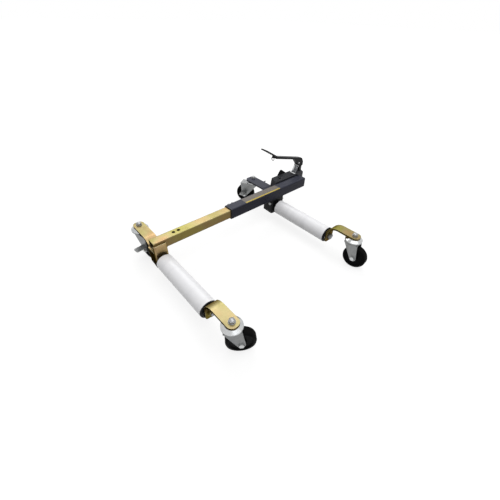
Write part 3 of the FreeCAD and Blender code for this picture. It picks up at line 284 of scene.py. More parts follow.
length_socket = "NodeSocketFloat"
count_socket = "NodeSocketInt"
weld_maker, weld_given = new_maker("weld_bead", {
    "Bead Radius": length_socket, "Pitch": length_socket, "Jitter": length_socket, "Seed": count_socket})
seam = add(weld_maker, "GeometryNodeMeshToCurve", {0: weld_given["Geometry"]})
stops = add(weld_maker, "GeometryNodeCurveToPoints", {0: seam.outputs[0], "Length": weld_given["Pitch"]},
            mode="LENGTH")
ripple = add(weld_maker, "GeometryNodeMeshUVSphere",
             {"Segments": bead_segments, "Rings": bead_rings, "Radius": weld_given["Bead Radius"]})
least = add(weld_maker, "ShaderNodeMath", {0: 1.0, 1: weld_given["Jitter"]}, operation="SUBTRACT")
swell = add(weld_maker, "FunctionNodeRandomValue", {2: least.outputs[0], 3: 1.0, "Seed": weld_given["Seed"]},
            data_type="FLOAT")
beads = add(weld_maker, "GeometryNodeInstanceOnPoints",
            {"Points": stops.outputs["Points"], "Instance": ripple.outputs["Mesh"],
             "Rotation": stops.outputs["Rotation"], "Scale": swell.outputs[1]})
close_maker(weld_maker, weld_given, beads.outputs[0])

tube_low, tube_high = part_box("inner_tube")
fold_low, fold_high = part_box("left_bracket")
leg_low, leg_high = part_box("left_rear_arm")
leg_foot = fold_low.z + leg_seam_start
leg_head = tube_low.z - seam_end
side_foot = tube_low.z + side_seam_start
side_head = fold_high.z - seam_end
under_front = tube_low.y + corner_inset
under_back = tube_high.y - corner_inset
inner_seams = [((x, fold_high.y, leg_foot), (x, fold_high.y, leg_head)) for x in (leg_low.x, leg_high.x)]
for x in (tube_low.x, fold_high.x):
    inner_seams.append(((x, tube_low.y, side_foot), (x, tube_low.y, side_head)))
for x in (tube_low.x, fold_high.x):
    inner_seams.append(((x, under_front, tube_low.z), (x, under_back, tube_low.z)))
inner_welds = piece_from("inner_frame_welds", weld_maker,
                         {"Bead Radius": bead_radius, "Pitch": bead_pitch, "Jitter": bead_jitter,
                          "Seed": inner_weld_seed, "Material": zinc_bar}, runs=inner_seams)
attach(inner_welds, "inner_frame")

# Rollers: seamless steel sleeves, ground round and stove-enamelled in a silver white.
# The enamel is smooth; the grinding shows as faint rings, and use leaves grey rolling bands.
enamel_white = "#f2f2f4"
enamel_band = "#dedee2"
enamel_scuff = "#a9a9ae"
grinding_ring = 0.004
rolling_band = 0.022
band_reach = 0.5
scuff_grain = 0.007
sleeve_edge = 0.0010
wave_at_one = 0.314159


def roller_enamel(name):
    """Silver-white stove enamel: satin white with faint rings; the real rings are 0.5 mm apart
    and are drawn coarser so that they show. At scale 1 a wave repeats each wave_at_one metres."""
    finish, tree, place = new_finish(name)
    rings = add(tree, "ShaderNodeTexWave",
                {"Vector": place, "Scale": wave_at_one / grinding_ring, "Distortion": 0.4, "Detail": 1.0},
                bands_direction="Y")
    across = add(tree, "ShaderNodeMapping",
                 {"Vector": place, "Scale": (1 / band_reach, 1 / rolling_band, 1 / band_reach)})
    bands = add(tree, "ShaderNodeTexNoise", {"Vector": across.outputs[0], "Scale": 1.0, "Detail": 4.0})
    scuffs = add(tree, "ShaderNodeTexNoise", {"Vector": place, "Scale": 1 / scuff_grain, "Detail": 6.0})
    band = add(tree, "ShaderNodeMapRange",
               {"Value": bands.outputs[0], "From Min": 0.50, "From Max": 0.74, "To Max": 0.40})
    scuff = add(tree, "ShaderNodeMapRange",
                {"Value": scuffs.outputs[0], "From Min": 0.66, "From Max": 0.80, "To Max": 0.35})
    worn, rounded = worn_edge(tree, sleeve_edge)
    shown = tinted(tree, linear(enamel_white),
                   [(band.outputs[0], enamel_band), (scuff.outputs[0], enamel_scuff), (worn, enamel_scuff)])
    gloss = add(tree, "ShaderNodeMapRange", {"Value": bands.outputs[0], "To Min": 0.26, "To Max": 0.48})
    relief = add(tree, "ShaderNodeBump", {"Strength": 0.05, "Distance": 0.0004, "Height": rings.outputs[0],
                                          "Normal": rounded})
    return shade(finish, {"Base Color": shown, "Roughness": gloss.outputs[0], "Normal": relief.outputs[0],
                          "Coat Weight": 0.15, "Coat Roughness": 0.2})


dress(["left_roller_sleeve", "right_roller_sleeve"], roller_enamel("silver_white_enamel"))

# Roller ends: injection-moulded black nylon caps pressed into the sleeve, each of which holds a
# sealed ball bearing.
plastic_black = "#0f0f10"
plastic_scratch = "#252527"
moulded_grain = 0.0016
smear_patch = 0.013
moulded_edge = 0.0009


def moulded_plastic(name, colour, scratch):
    """Moulded black plastic: a low sheen with a spark-eroded grain and paler rubbed edges.
    The real grain is 0.2 mm and is drawn coarser so that it shows."""
    finish, tree, place = new_finish(name)
    grain = add(tree, "ShaderNodeTexNoise", {"Vector": place, "Scale": 1 / moulded_grain, "Detail": 3.0})
    smear = add(tree, "ShaderNodeTexNoise", {"Vector": place, "Scale": 1 / smear_patch, "Detail": 4.0})
    rubbed = add(tree, "ShaderNodeMapRange",
                 {"Value": smear.outputs[0], "From Min": 0.55, "From Max": 0.80, "To Max": 0.5})
    worn, rounded = worn_edge(tree, moulded_edge)
    shown = tinted(tree, linear(colour), [(rubbed.outputs[0], scratch), (worn, scratch)])
    gloss = add(tree, "ShaderNodeMapRange", {"Value": smear.outputs[0], "To Min": 0.38, "To Max": 0.62})
    relief = add(tree, "ShaderNodeBump", {"Strength": 0.18, "Distance": 0.0003, "Height": grain.outputs[0],
                                          "Normal": rounded})
    return shade(finish, {"Base Color": shown, "Roughness": gloss.outputs[0], "Normal": relief.outputs[0],
                          "Specular IOR Level": 0.25})


dress(["left_roller_end_caps", "right_roller_end_caps"],
      moulded_plastic("moulded_black_nylon", plastic_black, plastic_scratch))

# Axles, bearings and the ram inside the tubes: turned or ground steel, left bright and oiled.
# The axles pass through the brackets and rollers and are held by nuts.
turned_bright = "#93959a"
turned_dark = "#5c5d60"
turned_ring = 0.0015
turned_edge = 0.0007
oil_patch = 0.02


def turned_steel(name, ring_axis):
    """Turned steel: a grey mirror with tool rings round the axis, and darker oil in patches.
    The real rings are 0.2 mm apart and are drawn coarser so that they show."""
    finish, tree, place = new_finish(name)
    rings = add(tree, "ShaderNodeTexWave",
                {"Vector": place, "Scale": wave_at_one / turned_ring, "Distortion": 0.2},
                bands_direction=ring_axis)
    oil = add(tree, "ShaderNodeTexNoise", {"Vector": place, "Scale": 1 / oil_patch, "Detail": 4.0})
    dark = add(tree, "ShaderNodeMapRange",
               {"Value": oil.outputs[0], "From Min": 0.48, "From Max": 0.78, "To Max": 0.7})
    rounded = add(tree, "ShaderNodeBevel", {"Radius": turned_edge}, samples=4)
    shown = tinted(tree, linear(turned_bright), [(dark.outputs[0], turned_dark)])
    gloss = add(tree, "ShaderNodeMapRange", {"Value": oil.outputs[0], "To Min": 0.22, "To Max": 0.45})
    relief = add(tree, "ShaderNodeBump", {"Strength": 0.25, "Distance": 0.0003, "Height": rings.outputs[0],
                                          "Normal": rounded.outputs[0]})
    return shade(finish, {"Base Color": shown, "Metallic": 1.0, "Roughness": gloss.outputs[0],
                          "Normal": relief.outputs[0]})


turned_along_y = turned_steel("turned_steel_bar", "Y")
turned_along_x = turned_steel("ground_steel_rod", "X")
dress(["left_axle", "right_axle", "left_roller_bearings", "right_roller_bearings"], turned_along_y)
dress(["ram_cylinder", "ram_gland", "ram_rod", "ram_piston", "oil_nipple"], turned_along_x)

# Casters: forks pressed from sheet, brake plates and all nuts and bolts, in clear-passivated zinc.
# Each fork turns under its arm on a kingpin, between two pressed ball races. Only the left axle's
# nuts are yellow passivated, with the inner frame.
sheet_tones = ("#858686", "#9a9b9a", "#797d80", "#5d5f5d")
bolt_tones = ("#9b9c9c", "#b0b1b1", "#8d9194", "#727474")
bright_tones = ("#c3c4c4", "#cfd0d0", "#a9aeb2", "#8c8e8f")
spangle = 0.0075
zinc_bloom = 0.045
pressed_edge = 0.0009


def clear_zinc(name, tones, rough_low, rough_high):
    """Clear-passivated zinc: a soft grey mirror with faint crystal patches and a blue-white bloom.
    The tones are its plain grey, its pale crystals, its bloom and its dull patches."""
    zinc_grey, zinc_pale, zinc_blue, zinc_dull = tones
    finish, tree, place = new_finish(name)
    cells = add(tree, "ShaderNodeTexVoronoi", {"Vector": place, "Scale": 1 / spangle, "Randomness": 1.0})
    tone = add(tree, "ShaderNodeSeparateColor", {0: cells.outputs["Color"]})
    bloom = add(tree, "ShaderNodeTexNoise", {"Vector": place, "Scale": 1 / zinc_bloom, "Detail": 5.0})
    pale = add(tree, "ShaderNodeMapRange", {"Value": tone.outputs[0], "To Max": 0.40})
    blue = add(tree, "ShaderNodeMapRange",
               {"Value": bloom.outputs[0], "From Min": 0.45, "From Max": 0.70, "To Max": 0.55})
    dull = add(tree, "ShaderNodeMapRange",
               {"Value": bloom.outputs[0], "From Min": 0.46, "From Max": 0.30, "To Max": 0.60})
    worn, rounded = worn_edge(tree, pressed_edge)
    shown = tinted(tree, linear(zinc_grey),
                   [(pale.outputs[0], zinc_pale), (blue.outputs[0], zinc_blue), (dull.outputs[0], zinc_dull),
                    (worn, zinc_pale)])
    gloss = add(tree, "ShaderNodeMapRange",
                {"Value": bloom.outputs[0], "From Min": 0.25, "From Max": 0.75,
                 "To Min": rough_low, "To Max": rough_high})
    relief = add(tree, "ShaderNodeBump", {"Strength": 0.06, "Distance": 0.0006, "Height": tone.outputs[1],
                                          "Normal": rounded})
    return shade(finish, {"Base Color": shown, "Metallic": 1.0, "Roughness": gloss.outputs[0],
                          "Normal": relief.outputs[0]})


sheet_zinc = clear_zinc("clear_zinc_pressed_steel", sheet_tones, rough_low=0.34, rough_high=0.52)
bolt_zinc = clear_zinc("clear_zinc_bolts", bolt_tones, rough_low=0.26, rough_high=0.42)
bright_zinc = clear_zinc("bright_zinc_turned_steel", bright_tones, rough_low=0.18, rough_high=0.34)
corners = ["front_left", "front_right", "rear_left", "rear_right"]
dress([corner + "_fork" for corner in corners] + ["rear_left_brake", "rear_right_brake"], sheet_zinc)
dress([corner + "_wheel_axle" for corner in corners], bright_zinc)
dress(["left_raceways", "right_raceways"], bright_zinc)
dress(["left_kingpins", "right_kingpins"], bolt_zinc)
dress(["right_axle_hardware", "anchor_screws"], sheet_zinc)
dress(["left_axle_hardware"], zinc_bar)

# Brake ridges: grip bars pressed up across the foot tab of each rear brake plate.
# They are part of the same zinc-plated sheet.
ridge_count = 4
ridge_pitch = 0.006
ridge_radius = 0.0011
ridge_length = 0.018
ridge_from_end = 0.008
round_sides = 12

ridge_maker, ridge_given = new_maker("tab_ridges", {
    "Count": count_socket, "Pitch": length_socket, "Ridge Length": length_socket,
    "Ridge Radius": length_socket})
step_back = add(ridge_maker, "ShaderNodeCombineXYZ", {"X": ridge_given["Pitch"]})
row = add(ridge_maker, "GeometryNodeMeshLine",
          {"Count": ridge_given["Count"], "Offset": step_back.outputs[0]})
half_ridge = add(ridge_maker, "ShaderNodeMath", {0: ridge_given["Ridge Length"], 1: 0.5},
                 operation="MULTIPLY")
ridge_end = add(ridge_maker, "ShaderNodeCombineXYZ", {"Y": half_ridge.outputs[0]})
ridge_start = add(ridge_maker, "ShaderNodeVectorMath", {0: ridge_end.outputs[0], "Scale": -1.0},
                  operation="SCALE")
ridge_line = add(ridge_maker, "GeometryNodeCurvePrimitiveLine",
                 {"Start": ridge_start.outputs[0], "End": ridge_end.outputs[0]})
ridge_round = add(ridge_maker, "GeometryNodeCurvePrimitiveCircle",
                  {"Resolution": round_sides, "Radius": ridge_given["Ridge Radius"]})
ridge_bar = add(ridge_maker, "GeometryNodeCurveToMesh",
                {"Curve": ridge_line.outputs[0], "Profile Curve": ridge_round.outputs[0], "Fill Caps": True})
ridges = add(ridge_maker, "GeometryNodeInstanceOnPoints",
             {"Points": row.outputs[0], "Instance": ridge_bar.outputs[0]})
close_maker(ridge_maker, ridge_given, ridges.outputs[0])

joints = {joint["name"]: joint for joint in frame["joints"]}


def span(name, direction):
    """How far a CAD node reaches along a direction, from the origin."""
    reach = [vertex.co.dot(direction) for vertex in nodes[name].data.vertices]
    return min(reach), max(reach)


def facing(x_axis, y_axis, place):
    """Place and turn of a local frame, from two of its axes."""
    turn = Matrix((x_axis, y_axis, x_axis.cross(y_axis))).transposed().to_4x4()
    return Matrix.Translation(place) @ turn


for corner in ("rear_left", "rear_right"):
    brake = corner + "_brake"
    wheel_axis = Vector(joints[corner + "_brake_turn"]["axis"]).normalized()
    pivot = Vector(joints[corner + "_brake_turn"]["pos_m"])
    low, high = span(brake, wheel_axis)
    along_axis = pivot.dot(wheel_axis)
    tab_is_high = high - along_axis > along_axis - low
    inward = -wheel_axis if tab_is_high else wheel_axis
    tab_end = high if tab_is_high else low
    across = Vector((0, 0, 1)).cross(inward)
    first = pivot + wheel_axis * (tab_end - along_axis) + inward * ridge_from_end
    first.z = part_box(brake)[1].z
    ridged = piece_from(corner + "_brake_ridges", ridge_maker,
                        {"Count": ridge_count, "Pitch": ridge_pitch, "Ridge Length": ridge_length,
                         "Ridge Radius": ridge_radius, "Material": sheet_zinc}, facing(inward, across, first))
    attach(ridged, corner + "_brake_lever")

# Caster wheels: solid black polyolefin, injection moulded with a recessed web on each side.
# They run on the axle bolt between the fork's legs.
wheel_black = "#070708"
wheel_rim_sheen = "#0c0c0d"
tread_dust = "#191817"
tread_start = 0.0445
wheel_radius = 0.050
wheel_ring = 0.0030
wheel_scuff = 0.006
wheel_edge = 0.0012


def wheel_finish(name, centre, axis):
    """Moulded black polyolefin: waxy, with faint rings from the mould and a dusty rubbed tread."""
    finish, tree, place = new_finish(name)
    away = add(tree, "ShaderNodeVectorMath", {0: place, 1: centre}, operation="SUBTRACT")
    outward = add(tree, "ShaderNodeVectorMath", {0: away.outputs[0], 1: axis}, operation="CROSS_PRODUCT")
    reach = add(tree, "ShaderNodeVectorMath", {0: outward.outputs[0]}, operation="LENGTH").outputs["Value"]
    turns = add(tree, "ShaderNodeMath", {0: reach, 1: 2 * math.pi / wheel_ring}, operation="MULTIPLY")
    rings = add(tree, "ShaderNodeMath", {0: turns.outputs[0]}, operation="SINE")
    scuff = add(tree, "ShaderNodeTexNoise", {"Vector": place, "Scale": 1 / wheel_scuff, "Detail": 6.0})
    tread = add(tree, "ShaderNodeMapRange",
                {"Value": reach, "From Min": tread_start, "From Max": wheel_radius, "To Max": 0.75})
    dusty = add(tree, "ShaderNodeMath", {0: tread.outputs[0], 1: scuff.outputs[0]}, operation="MULTIPLY")
    sheen = add(tree, "ShaderNodeMapRange", {"Value": scuff.outputs[0], "From Min": 0.4, "From Max": 0.7})
    rounded = add(tree, "ShaderNodeBevel", {"Radius": wheel_edge}, samples=4)
    shown = tinted(tree, linear(wheel_black),
                   [(sheen.outputs[0], wheel_rim_sheen), (dusty.outputs[0], tread_dust)])
    gloss = add(tree, "ShaderNodeMapRange",
                {"Value": dusty.outputs[0], "From Max": 0.4, "To Min": 0.34, "To Max": 0.72})
    relief = add(tree, "ShaderNodeBump", {"Strength": 0.10, "Distance": 0.0004, "Height": rings.outputs[0],
                                          "Normal": rounded.outputs[0]})
    return shade(finish, {"Base Color": shown, "Roughness": gloss.outputs[0], "Normal": relief.outputs[0],
                          "Specular IOR Level": 0.03})


for corner in corners:
    spin = joints[corner + "_wheel_spin"]
    hub = Vector(spin["pos_m"])
    spin_axis = Vector(spin["axis"]).normalized()
    dress([corner + "_wheel"], wheel_finish(corner + "_moulded_polyolefin", hub, spin_axis))

# Outer tube and the arm beside the pump: mild steel in a slate-grey powder coat.
# The coat is baked on and leaves a fine orange peel, rubbed paler on the edges.
slate = "#20212c"
slate_cloud = "#252632"
# Painted light: the next colour is painted on upward faces for their lit tops.
slate_lit_top = "#393b47"
slate_rubbed = "#4e4f5a"
coat_peel = 0.0028
coat_cloud = 0.05
coat_chip = 0.004
coat_edge = 0.0014
# Slope at which upward faces take the painted light.
lit_top_slope = (0.3, 0.9)


def powder_coat(name, colour, cloud_colour, lit_top_colour, rubbed_colour, rough):
    """Baked powder coat: an even satin with orange peel and paler rubbed edges; its upward faces are
    painted paler as painted light.
    The real peel is 1 mm across and is drawn coarser so that it shows."""
    finish, tree, place = new_finish(name)
    peel = add(tree, "ShaderNodeTexNoise", {"Vector": place, "Scale": 1 / coat_peel, "Detail": 1.0})
    cloud = add(tree, "ShaderNodeTexNoise", {"Vector": place, "Scale": 1 / coat_cloud, "Detail": 5.0})
    fleck = add(tree, "ShaderNodeTexNoise", {"Vector": place, "Scale": 1 / coat_chip, "Detail": 5.0})
    drift = add(tree, "ShaderNodeMapRange", {"Value": cloud.outputs[0], "From Min": 0.40, "From Max": 0.70})
    chips = add(tree, "ShaderNodeMapRange",
                {"Value": fleck.outputs[0], "From Min": 0.70, "From Max": 0.76, "To Max": 0.6})
    worn, rounded = worn_edge(tree, coat_edge, start=0.965, full=0.80)
    # Painted light on upward faces, then chips and rubbed edges.
    shown = tinted(tree, linear(colour),
                   [(drift.outputs[0], cloud_colour), (facing_share(tree, "Z", lit_top_slope), lit_top_colour),
                    (chips.outputs[0], rubbed_colour), (worn, rubbed_colour)])
    gloss = add(tree, "ShaderNodeMapRange",
                {"Value": cloud.outputs[0], "To Min": rough - 0.08, "To Max": rough + 0.10})
    relief = add(tree, "ShaderNodeBump", {"Strength": 0.10, "Distance": 0.0005, "Height": peel.outputs[0],
                                          "Normal": rounded})
    return shade(finish, {"Base Color": shown, "Roughness": gloss.outputs[0], "Normal": relief.outputs[0],
                          "Specular IOR Level": 0.12})


slate_coat = powder_coat("slate_powder_coat", slate, slate_cloud, slate_lit_top, slate_rubbed, rough=0.40)
dress(["outer_tube", "right_rear_arm"], slate_coat)

# Right bracket, pedal, fulcrum, release lever and end plate: steel in a black powder coat. The
# bracket is folded from plate and welded under the tube and to the rear arm, and its beads are
# coated with it.
coat_black = "#0d0d0f"
black_cloud = "#121215"
# Painted light: the next colour is painted on upward faces for their lit tops.
black_lit_top = "#37383b"
black_rubbed = "#3c3c40"
outer_weld_seed = 5
front_seam_inset = 0.008
front_seam_back = 0.0008
front_seam_rise = 0.0006
arm_seam_start = 0.012
arm_seam_end = 0.060
black_coat = powder_coat("black_powder_coat", coat_black, black_cloud, black_lit_top, black_rubbed, rough=0.36)
dress(["right_bracket", "end_plate", "fulcrum_post", "fulcrum_pin", "pedal_arm", "release_lever", "stow_peg",
       "rod_anchor"], black_coat)

outer_low, outer_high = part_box("outer_tube")
under_low, under_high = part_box("right_bracket")
arm_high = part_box("right_rear_arm")[1]
front_seam_y = under_low.y + front_seam_back
front_seam_z = under_high.z + front_seam_rise
outer_seams = [((under_low.x + front_seam_inset, front_seam_y, front_seam_z),
                (under_high.x - front_seam_inset, front_seam_y, front_seam_z))]
for x in (under_low.x, under_high.x):
    outer_seams.append(((x, outer_low.y + corner_inset, under_high.z),
                        (x, outer_high.y - corner_inset, under_high.z)))
outer_seams.append(((arm_high.x, under_high.y, under_low.z + arm_seam_start),
                    (arm_high.x, under_high.y, arm_high.z - arm_seam_end)))
outer_welds = piece_from("outer_frame_welds", weld_maker,
                         {"Bead Radius": bead_radius, "Pitch": bead_pitch, "Jitter": bead_jitter,
                          "Seed": outer_weld_seed, "Material": black_coat}, runs=outer_seams)
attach(outer_welds, "outer_frame")

# Guide bush: a nylon collar pressed into the tube's mouth, which the inner tube slides in.
# Its flange shows as a thin black line round the mouth; screws in the tube's back hold it.
guide_black = "#101011"
guide_scratch = "#28282a"
dress(["guide_bush"], moulded_plastic("black_guide_nylon", guide_black, guide_scratch))
dress(["tube_screws"], sheet_zinc)

# Plain label strip: printed vinyl film stuck on the top of the tube and round its front corner.
# It is an even grey, with one stripe along its front edge.
label_mauve = "#5f574f"
label_pale = "#6b635b"
label_stripe = "#bda53a"
label_start = 0.087
label_length = 0.220
label_front = 0.0035
label_back = 0.007
stripe_width = 0.0075
label_lift = 0.00012
print_grain = 0.009
outer_corner = 0.006
corner_rows = 5
corner_row_step = 0.0008
past_corner = 0.0005
front_face = outer_low.y
stripe_end = front_face + label_front + stripe_width
label_rows = [front_face + label_front + index * corner_row_step for index in range(corner_rows)]
label_rows += [front_face + outer_corner + past_corner, stripe_end, outer_high.y - label_back]


def on_tube(y):
    """Height of the tube's top, with its rounded front corner, where the film lies."""
    inside = max(0.0, front_face + outer_corner - y)
    return outer_high.z - outer_corner + math.sqrt(outer_corner ** 2 - inside ** 2) + label_lift


label_ends = (outer_low.x + label_start, outer_low.x + label_start + label_length)
label_points = [(x, y, on_tube(y)) for x in label_ends for y in label_rows]
row_count = len(label_rows)
label_faces = [(index, index + row_count, index + row_count + 1, index + 1) for index in range(row_count - 1)]
label_mesh = bpy.data.meshes.new("label_strip")
label_mesh.from_pydata(label_points, [], label_faces)
label = bpy.data.objects.new("label_strip", label_mesh)
bpy.context.scene.collection.objects.link(label)
film = label.modifiers.new("film", "SOLIDIFY")
film.thickness = label_lift
film.offset = -1.0


def printed_vinyl(name):
    """Printed vinyl: a smooth, slightly glossy film with an even grey print and one clean stripe."""
    finish, tree, place = new_finish(name)
    axes = add(tree, "ShaderNodeSeparateXYZ", {0: place})
    stripe = add(tree, "ShaderNodeMath", {0: axes.outputs["Y"], 1: stripe_end}, operation="LESS_THAN")
    mottle = add(tree, "ShaderNodeTexNoise", {"Vector": place, "Scale": 1 / print_grain, "Detail": 5.0})
    pale = add(tree, "ShaderNodeMapRange", {"Value": mottle.outputs[0], "From Min": 0.40, "From Max": 0.65})
    shown = tinted(tree, linear(label_mauve),
                   [(pale.outputs[0], label_pale), (stripe.outputs[0], label_stripe)])
    gloss = add(tree, "ShaderNodeMapRange", {"Value": mottle.outputs[0], "To Min": 0.28, "To Max": 0.46})
    relief = add(tree, "ShaderNodeBump", {"Strength": 0.05, "Distance": 0.0005, "Height": mottle.outputs[0]})
    return shade(finish, {"Base Color": shown, "Roughness": gloss.outputs[0], "Normal": relief.outputs[0],
                          "Specular IOR Level": 0.3})


label_mesh.materials.append(printed_vinyl("printed_vinyl_film"))
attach(label, "outer_frame")

# Pump housing: a sand-cast iron body and oil tank, bolted to the back of the tube and painted.
# The sand leaves a coarse skin under the paint. Its filler plug is coated black; the plunger, its
# gland nut and the pedal's cross pin are zinc plated.
cast_charcoal = "#1e1f24"
cast_pale = "#2b2c32"
cast_rubbed = "#55565a"
sand_grain = 0.0026
cast_swirl = 0.03
cast_edge = 0.0018


def cast_iron(name):
    """Painted sand casting: a rough, dull charcoal skin, paler on its high spots and edges.
    The real grain is about 1 mm and is drawn coarser so that it shows."""
    finish, tree, place = new_finish(name)
    sand = add(tree, "ShaderNodeTexNoise",
               {"Vector": place, "Scale": 1 / sand_grain, "Detail": 4.0, "Roughness": 0.6})
    swirl = add(tree, "ShaderNodeTexNoise", {"Vector": place, "Scale": 1 / cast_swirl, "Detail": 4.0})
    high = add(tree, "ShaderNodeMapRange", {"Value": sand.outputs[0], "From Min": 0.50, "From Max": 0.72})
    drift = add(tree, "ShaderNodeMapRange",
                {"Value": swirl.outputs[0], "From Min": 0.45, "From Max": 0.75, "To Max": 0.6})
    worn, rounded = worn_edge(tree, cast_edge, start=0.965, full=0.80)
    shown = tinted(tree, linear(cast_charcoal),
                   [(high.outputs[0], cast_pale), (drift.outputs[0], cast_pale), (worn, cast_rubbed)])
    gloss = add(tree, "ShaderNodeMapRange", {"Value": sand.outputs[0], "To Min": 0.66, "To Max": 0.40})
    relief = add(tree, "ShaderNodeBump", {"Strength": 0.45, "Distance": 0.0009, "Height": sand.outputs[0],
                                          "Normal": rounded})
    return shade(finish, {"Base Color": shown, "Roughness": gloss.outputs[0], "Normal": relief.outputs[0],
                          "Specular IOR Level": 0.3})


dress(["pump_housing"], cast_iron("painted_sand_casting"))
dress(["filler_plug"], black_coat)
dress(["plunger"], sheet_zinc)
dress(["plunger_gland", "press_pin"], bright_zinc)

# Springs: hard-drawn steel wire, coiled cold with closed end turns, and zinc plated.
# One lifts the plunger back up; the other is inside the ram and opens the frame again.
wire_grey = "#7c7e82"
wire_dark = "#45474a"
wire_line = 0.0025
plunger_wire = 0.0026
plunger_turns = 7.0
return_wire = 0.0030
return_turns = 26.0
closed_turns = 1.0
closed_pitch = 1.03
steps_per_turn = 36


def spring_wire(name):
    """Plated spring wire: a satin grey mirror with drawing lines and darker oil between the turns.
    The real lines are 0.1 mm apart and are drawn coarser so that they show."""
    finish, tree, place = new_finish(name)
    lines = add(tree, "ShaderNodeTexNoise", {"Vector": place, "Scale": 1 / wire_line, "Detail": 3.0})
    dark = add(tree, "ShaderNodeMapRange",
               {"Value": lines.outputs[0], "From Min": 0.50, "From Max": 0.75, "To Max": 0.5})
    shown = tinted(tree, linear(wire_grey), [(dark.outputs[0], wire_dark)])
    gloss = add(tree, "ShaderNodeMapRange", {"Value": lines.outputs[0], "To Min": 0.26, "To Max": 0.46})
    relief = add(tree, "ShaderNodeBump", {"Strength": 0.08, "Distance": 0.0003, "Height": lines.outputs[0]})
    return shade(finish, {"Base Color": shown, "Metallic": 1.0, "Roughness": gloss.outputs[0],
                          "Normal": relief.outputs[0]})


coil_maker, coil_given = new_maker("wound_spring", {
    "Mean Radius": length_socket, "Wire Radius": length_socket, "Turns": length_socket,
    "End Turns": length_socket, "End Pitch": length_socket, "Middle Pitch": length_socket,
    "Steps": count_socket})
guide = add(coil_maker, "GeometryNodeCurvePrimitiveLine", {"End": (0, 0, 1)})
stations = add(coil_maker, "GeometryNodeResampleCurve",
               {"Curve": guide.outputs[0], "Count": coil_given["Steps"]})
along_wire = add(coil_maker, "GeometryNodeSplineParameter", {})
wound = add(coil_maker, "ShaderNodeMath", {0: along_wire.outputs["Factor"], 1: coil_given["Turns"]},
            operation="MULTIPLY")
turned = add(coil_maker, "ShaderNodeMath", {0: wound.outputs[0], 1: 2 * math.pi}, operation="MULTIPLY")
foot_turns = add(coil_maker, "ShaderNodeMath", {0: wound.outputs[0], 1: coil_given["End Turns"]},
                 operation="MINIMUM")
above_foot = add(coil_maker, "ShaderNodeMath", {0: wound.outputs[0], 1: foot_turns.outputs[0]},
                 operation="SUBTRACT")
head_start = add(coil_maker, "ShaderNodeMath", {0: coil_given["Turns"], 1: coil_given["End Turns"]},
                 operation="SUBTRACT")
middle_most = add(coil_maker, "ShaderNodeMath", {0: head_start.outputs[0], 1: coil_given["End Turns"]},
                  operation="SUBTRACT")
middle_turns = add(coil_maker, "ShaderNodeMath", {0: above_foot.outputs[0], 1: middle_most.outputs[0]},
                   operation="MINIMUM")
end_turns = add(coil_maker, "ShaderNodeMath", {0: wound.outputs[0], 1: middle_turns.outputs[0]},
                operation="SUBTRACT")
end_rise = add(coil_maker, "ShaderNodeMath", {0: end_turns.outputs[0], 1: coil_given["End Pitch"]},
               operation="MULTIPLY")
rise = add(coil_maker, "ShaderNodeMath",
           {0: middle_turns.outputs[0], 1: coil_given["Middle Pitch"], 2: end_rise.outputs[0]},
           operation="MULTIPLY_ADD")
cosine = add(coil_maker, "ShaderNodeMath", {0: turned.outputs[0]}, operation="COSINE")
sine = add(coil_maker, "ShaderNodeMath", {0: turned.outputs[0]}, operation="SINE")
unit_round = add(coil_maker, "ShaderNodeCombineXYZ", {"X": cosine.outputs[0], "Y": sine.outputs[0]})
on_round = add(coil_maker, "ShaderNodeVectorMath",
               {0: unit_round.outputs[0], "Scale": coil_given["Mean Radius"]}, operation="SCALE")
lifted = add(coil_maker, "ShaderNodeCombineXYZ", {"Z": rise.outputs[0]})
helix = add(coil_maker, "ShaderNodeVectorMath", {0: on_round.outputs[0], 1: lifted.outputs[0]},
            operation="ADD")
coil_line = add(coil_maker, "GeometryNodeSetPosition",
                {"Geometry": stations.outputs[0], "Position": helix.outputs[0]})
wire_round = add(coil_maker, "GeometryNodeCurvePrimitiveCircle",
                 {"Resolution": round_sides, "Radius": coil_given["Wire Radius"]})
coil_wire = add(coil_maker, "GeometryNodeCurveToMesh",
                {"Curve": coil_line.outputs[0], "Profile Curve": wire_round.outputs[0], "Fill Caps": True})
close_maker(coil_maker, coil_given, coil_wire.outputs[0])
plated_wire = spring_wire("zinc_plated_spring_wire")


def wind(node, axis, side, wire, turns):
    """Coil in the place of a CAD spring; its foot is the end that stays put as the joint moves."""
    low, high = span(node, axis)
    other = axis.cross(side)
    side_low, side_high = span(node, side)
    other_low, other_high = span(node, other)
    foot = axis * low + side * ((side_low + side_high) / 2) + other * ((other_low + other_high) / 2)
    height = high - low
    end_pitch = wire * closed_pitch
    middle_pitch = (height - wire - 2 * closed_turns * end_pitch) / (turns - 2 * closed_turns)
    coil = piece_from(node + "_coil", coil_maker,
                      {"Mean Radius": (side_high - side_low - wire) / 2, "Wire Radius": wire / 2,
                       "Turns": turns, "End Turns": closed_turns, "End Pitch": end_pitch,
                       "Middle Pitch": middle_pitch, "Steps": int(turns * steps_per_turn),
                       "Material": plated_wire},
                      facing(side, other, foot + axis * (wire / 2)))
    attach(coil, "outer_frame")
    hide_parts(node)
    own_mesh(coil)


plunger_up = -Vector(joints["plunger_slide"]["axis"]).normalized()
ram_out = Vector((-1, 0, 0))
to_back = Vector((0, 1, 0))
wind("plunger_spring", plunger_up, to_back, plunger_wire, plunger_turns)
wind("return_spring", ram_out, to_back, return_wire, return_turns)

# Pedal tread and ring: a ribbed rubber tread bonded to the pedal's flattened end, and a ring of
# bent steel wire that hangs in a lug under it and is coated black.
rubber_black = "#121213"
rubber_bloom = "#4a4b49"
rubber_rubbed = "#7b7c78"
# Painted highlight: the grey painted on the tread's upward faces.
rubber_lit_top = "#6a6c67"
rubber_grain = 0.0018
bloom_patch = 0.02
tread_edge = 0.0010
# Slope at which the painted highlight starts and is full.
lit_tread_slope = (0.3, 0.8)


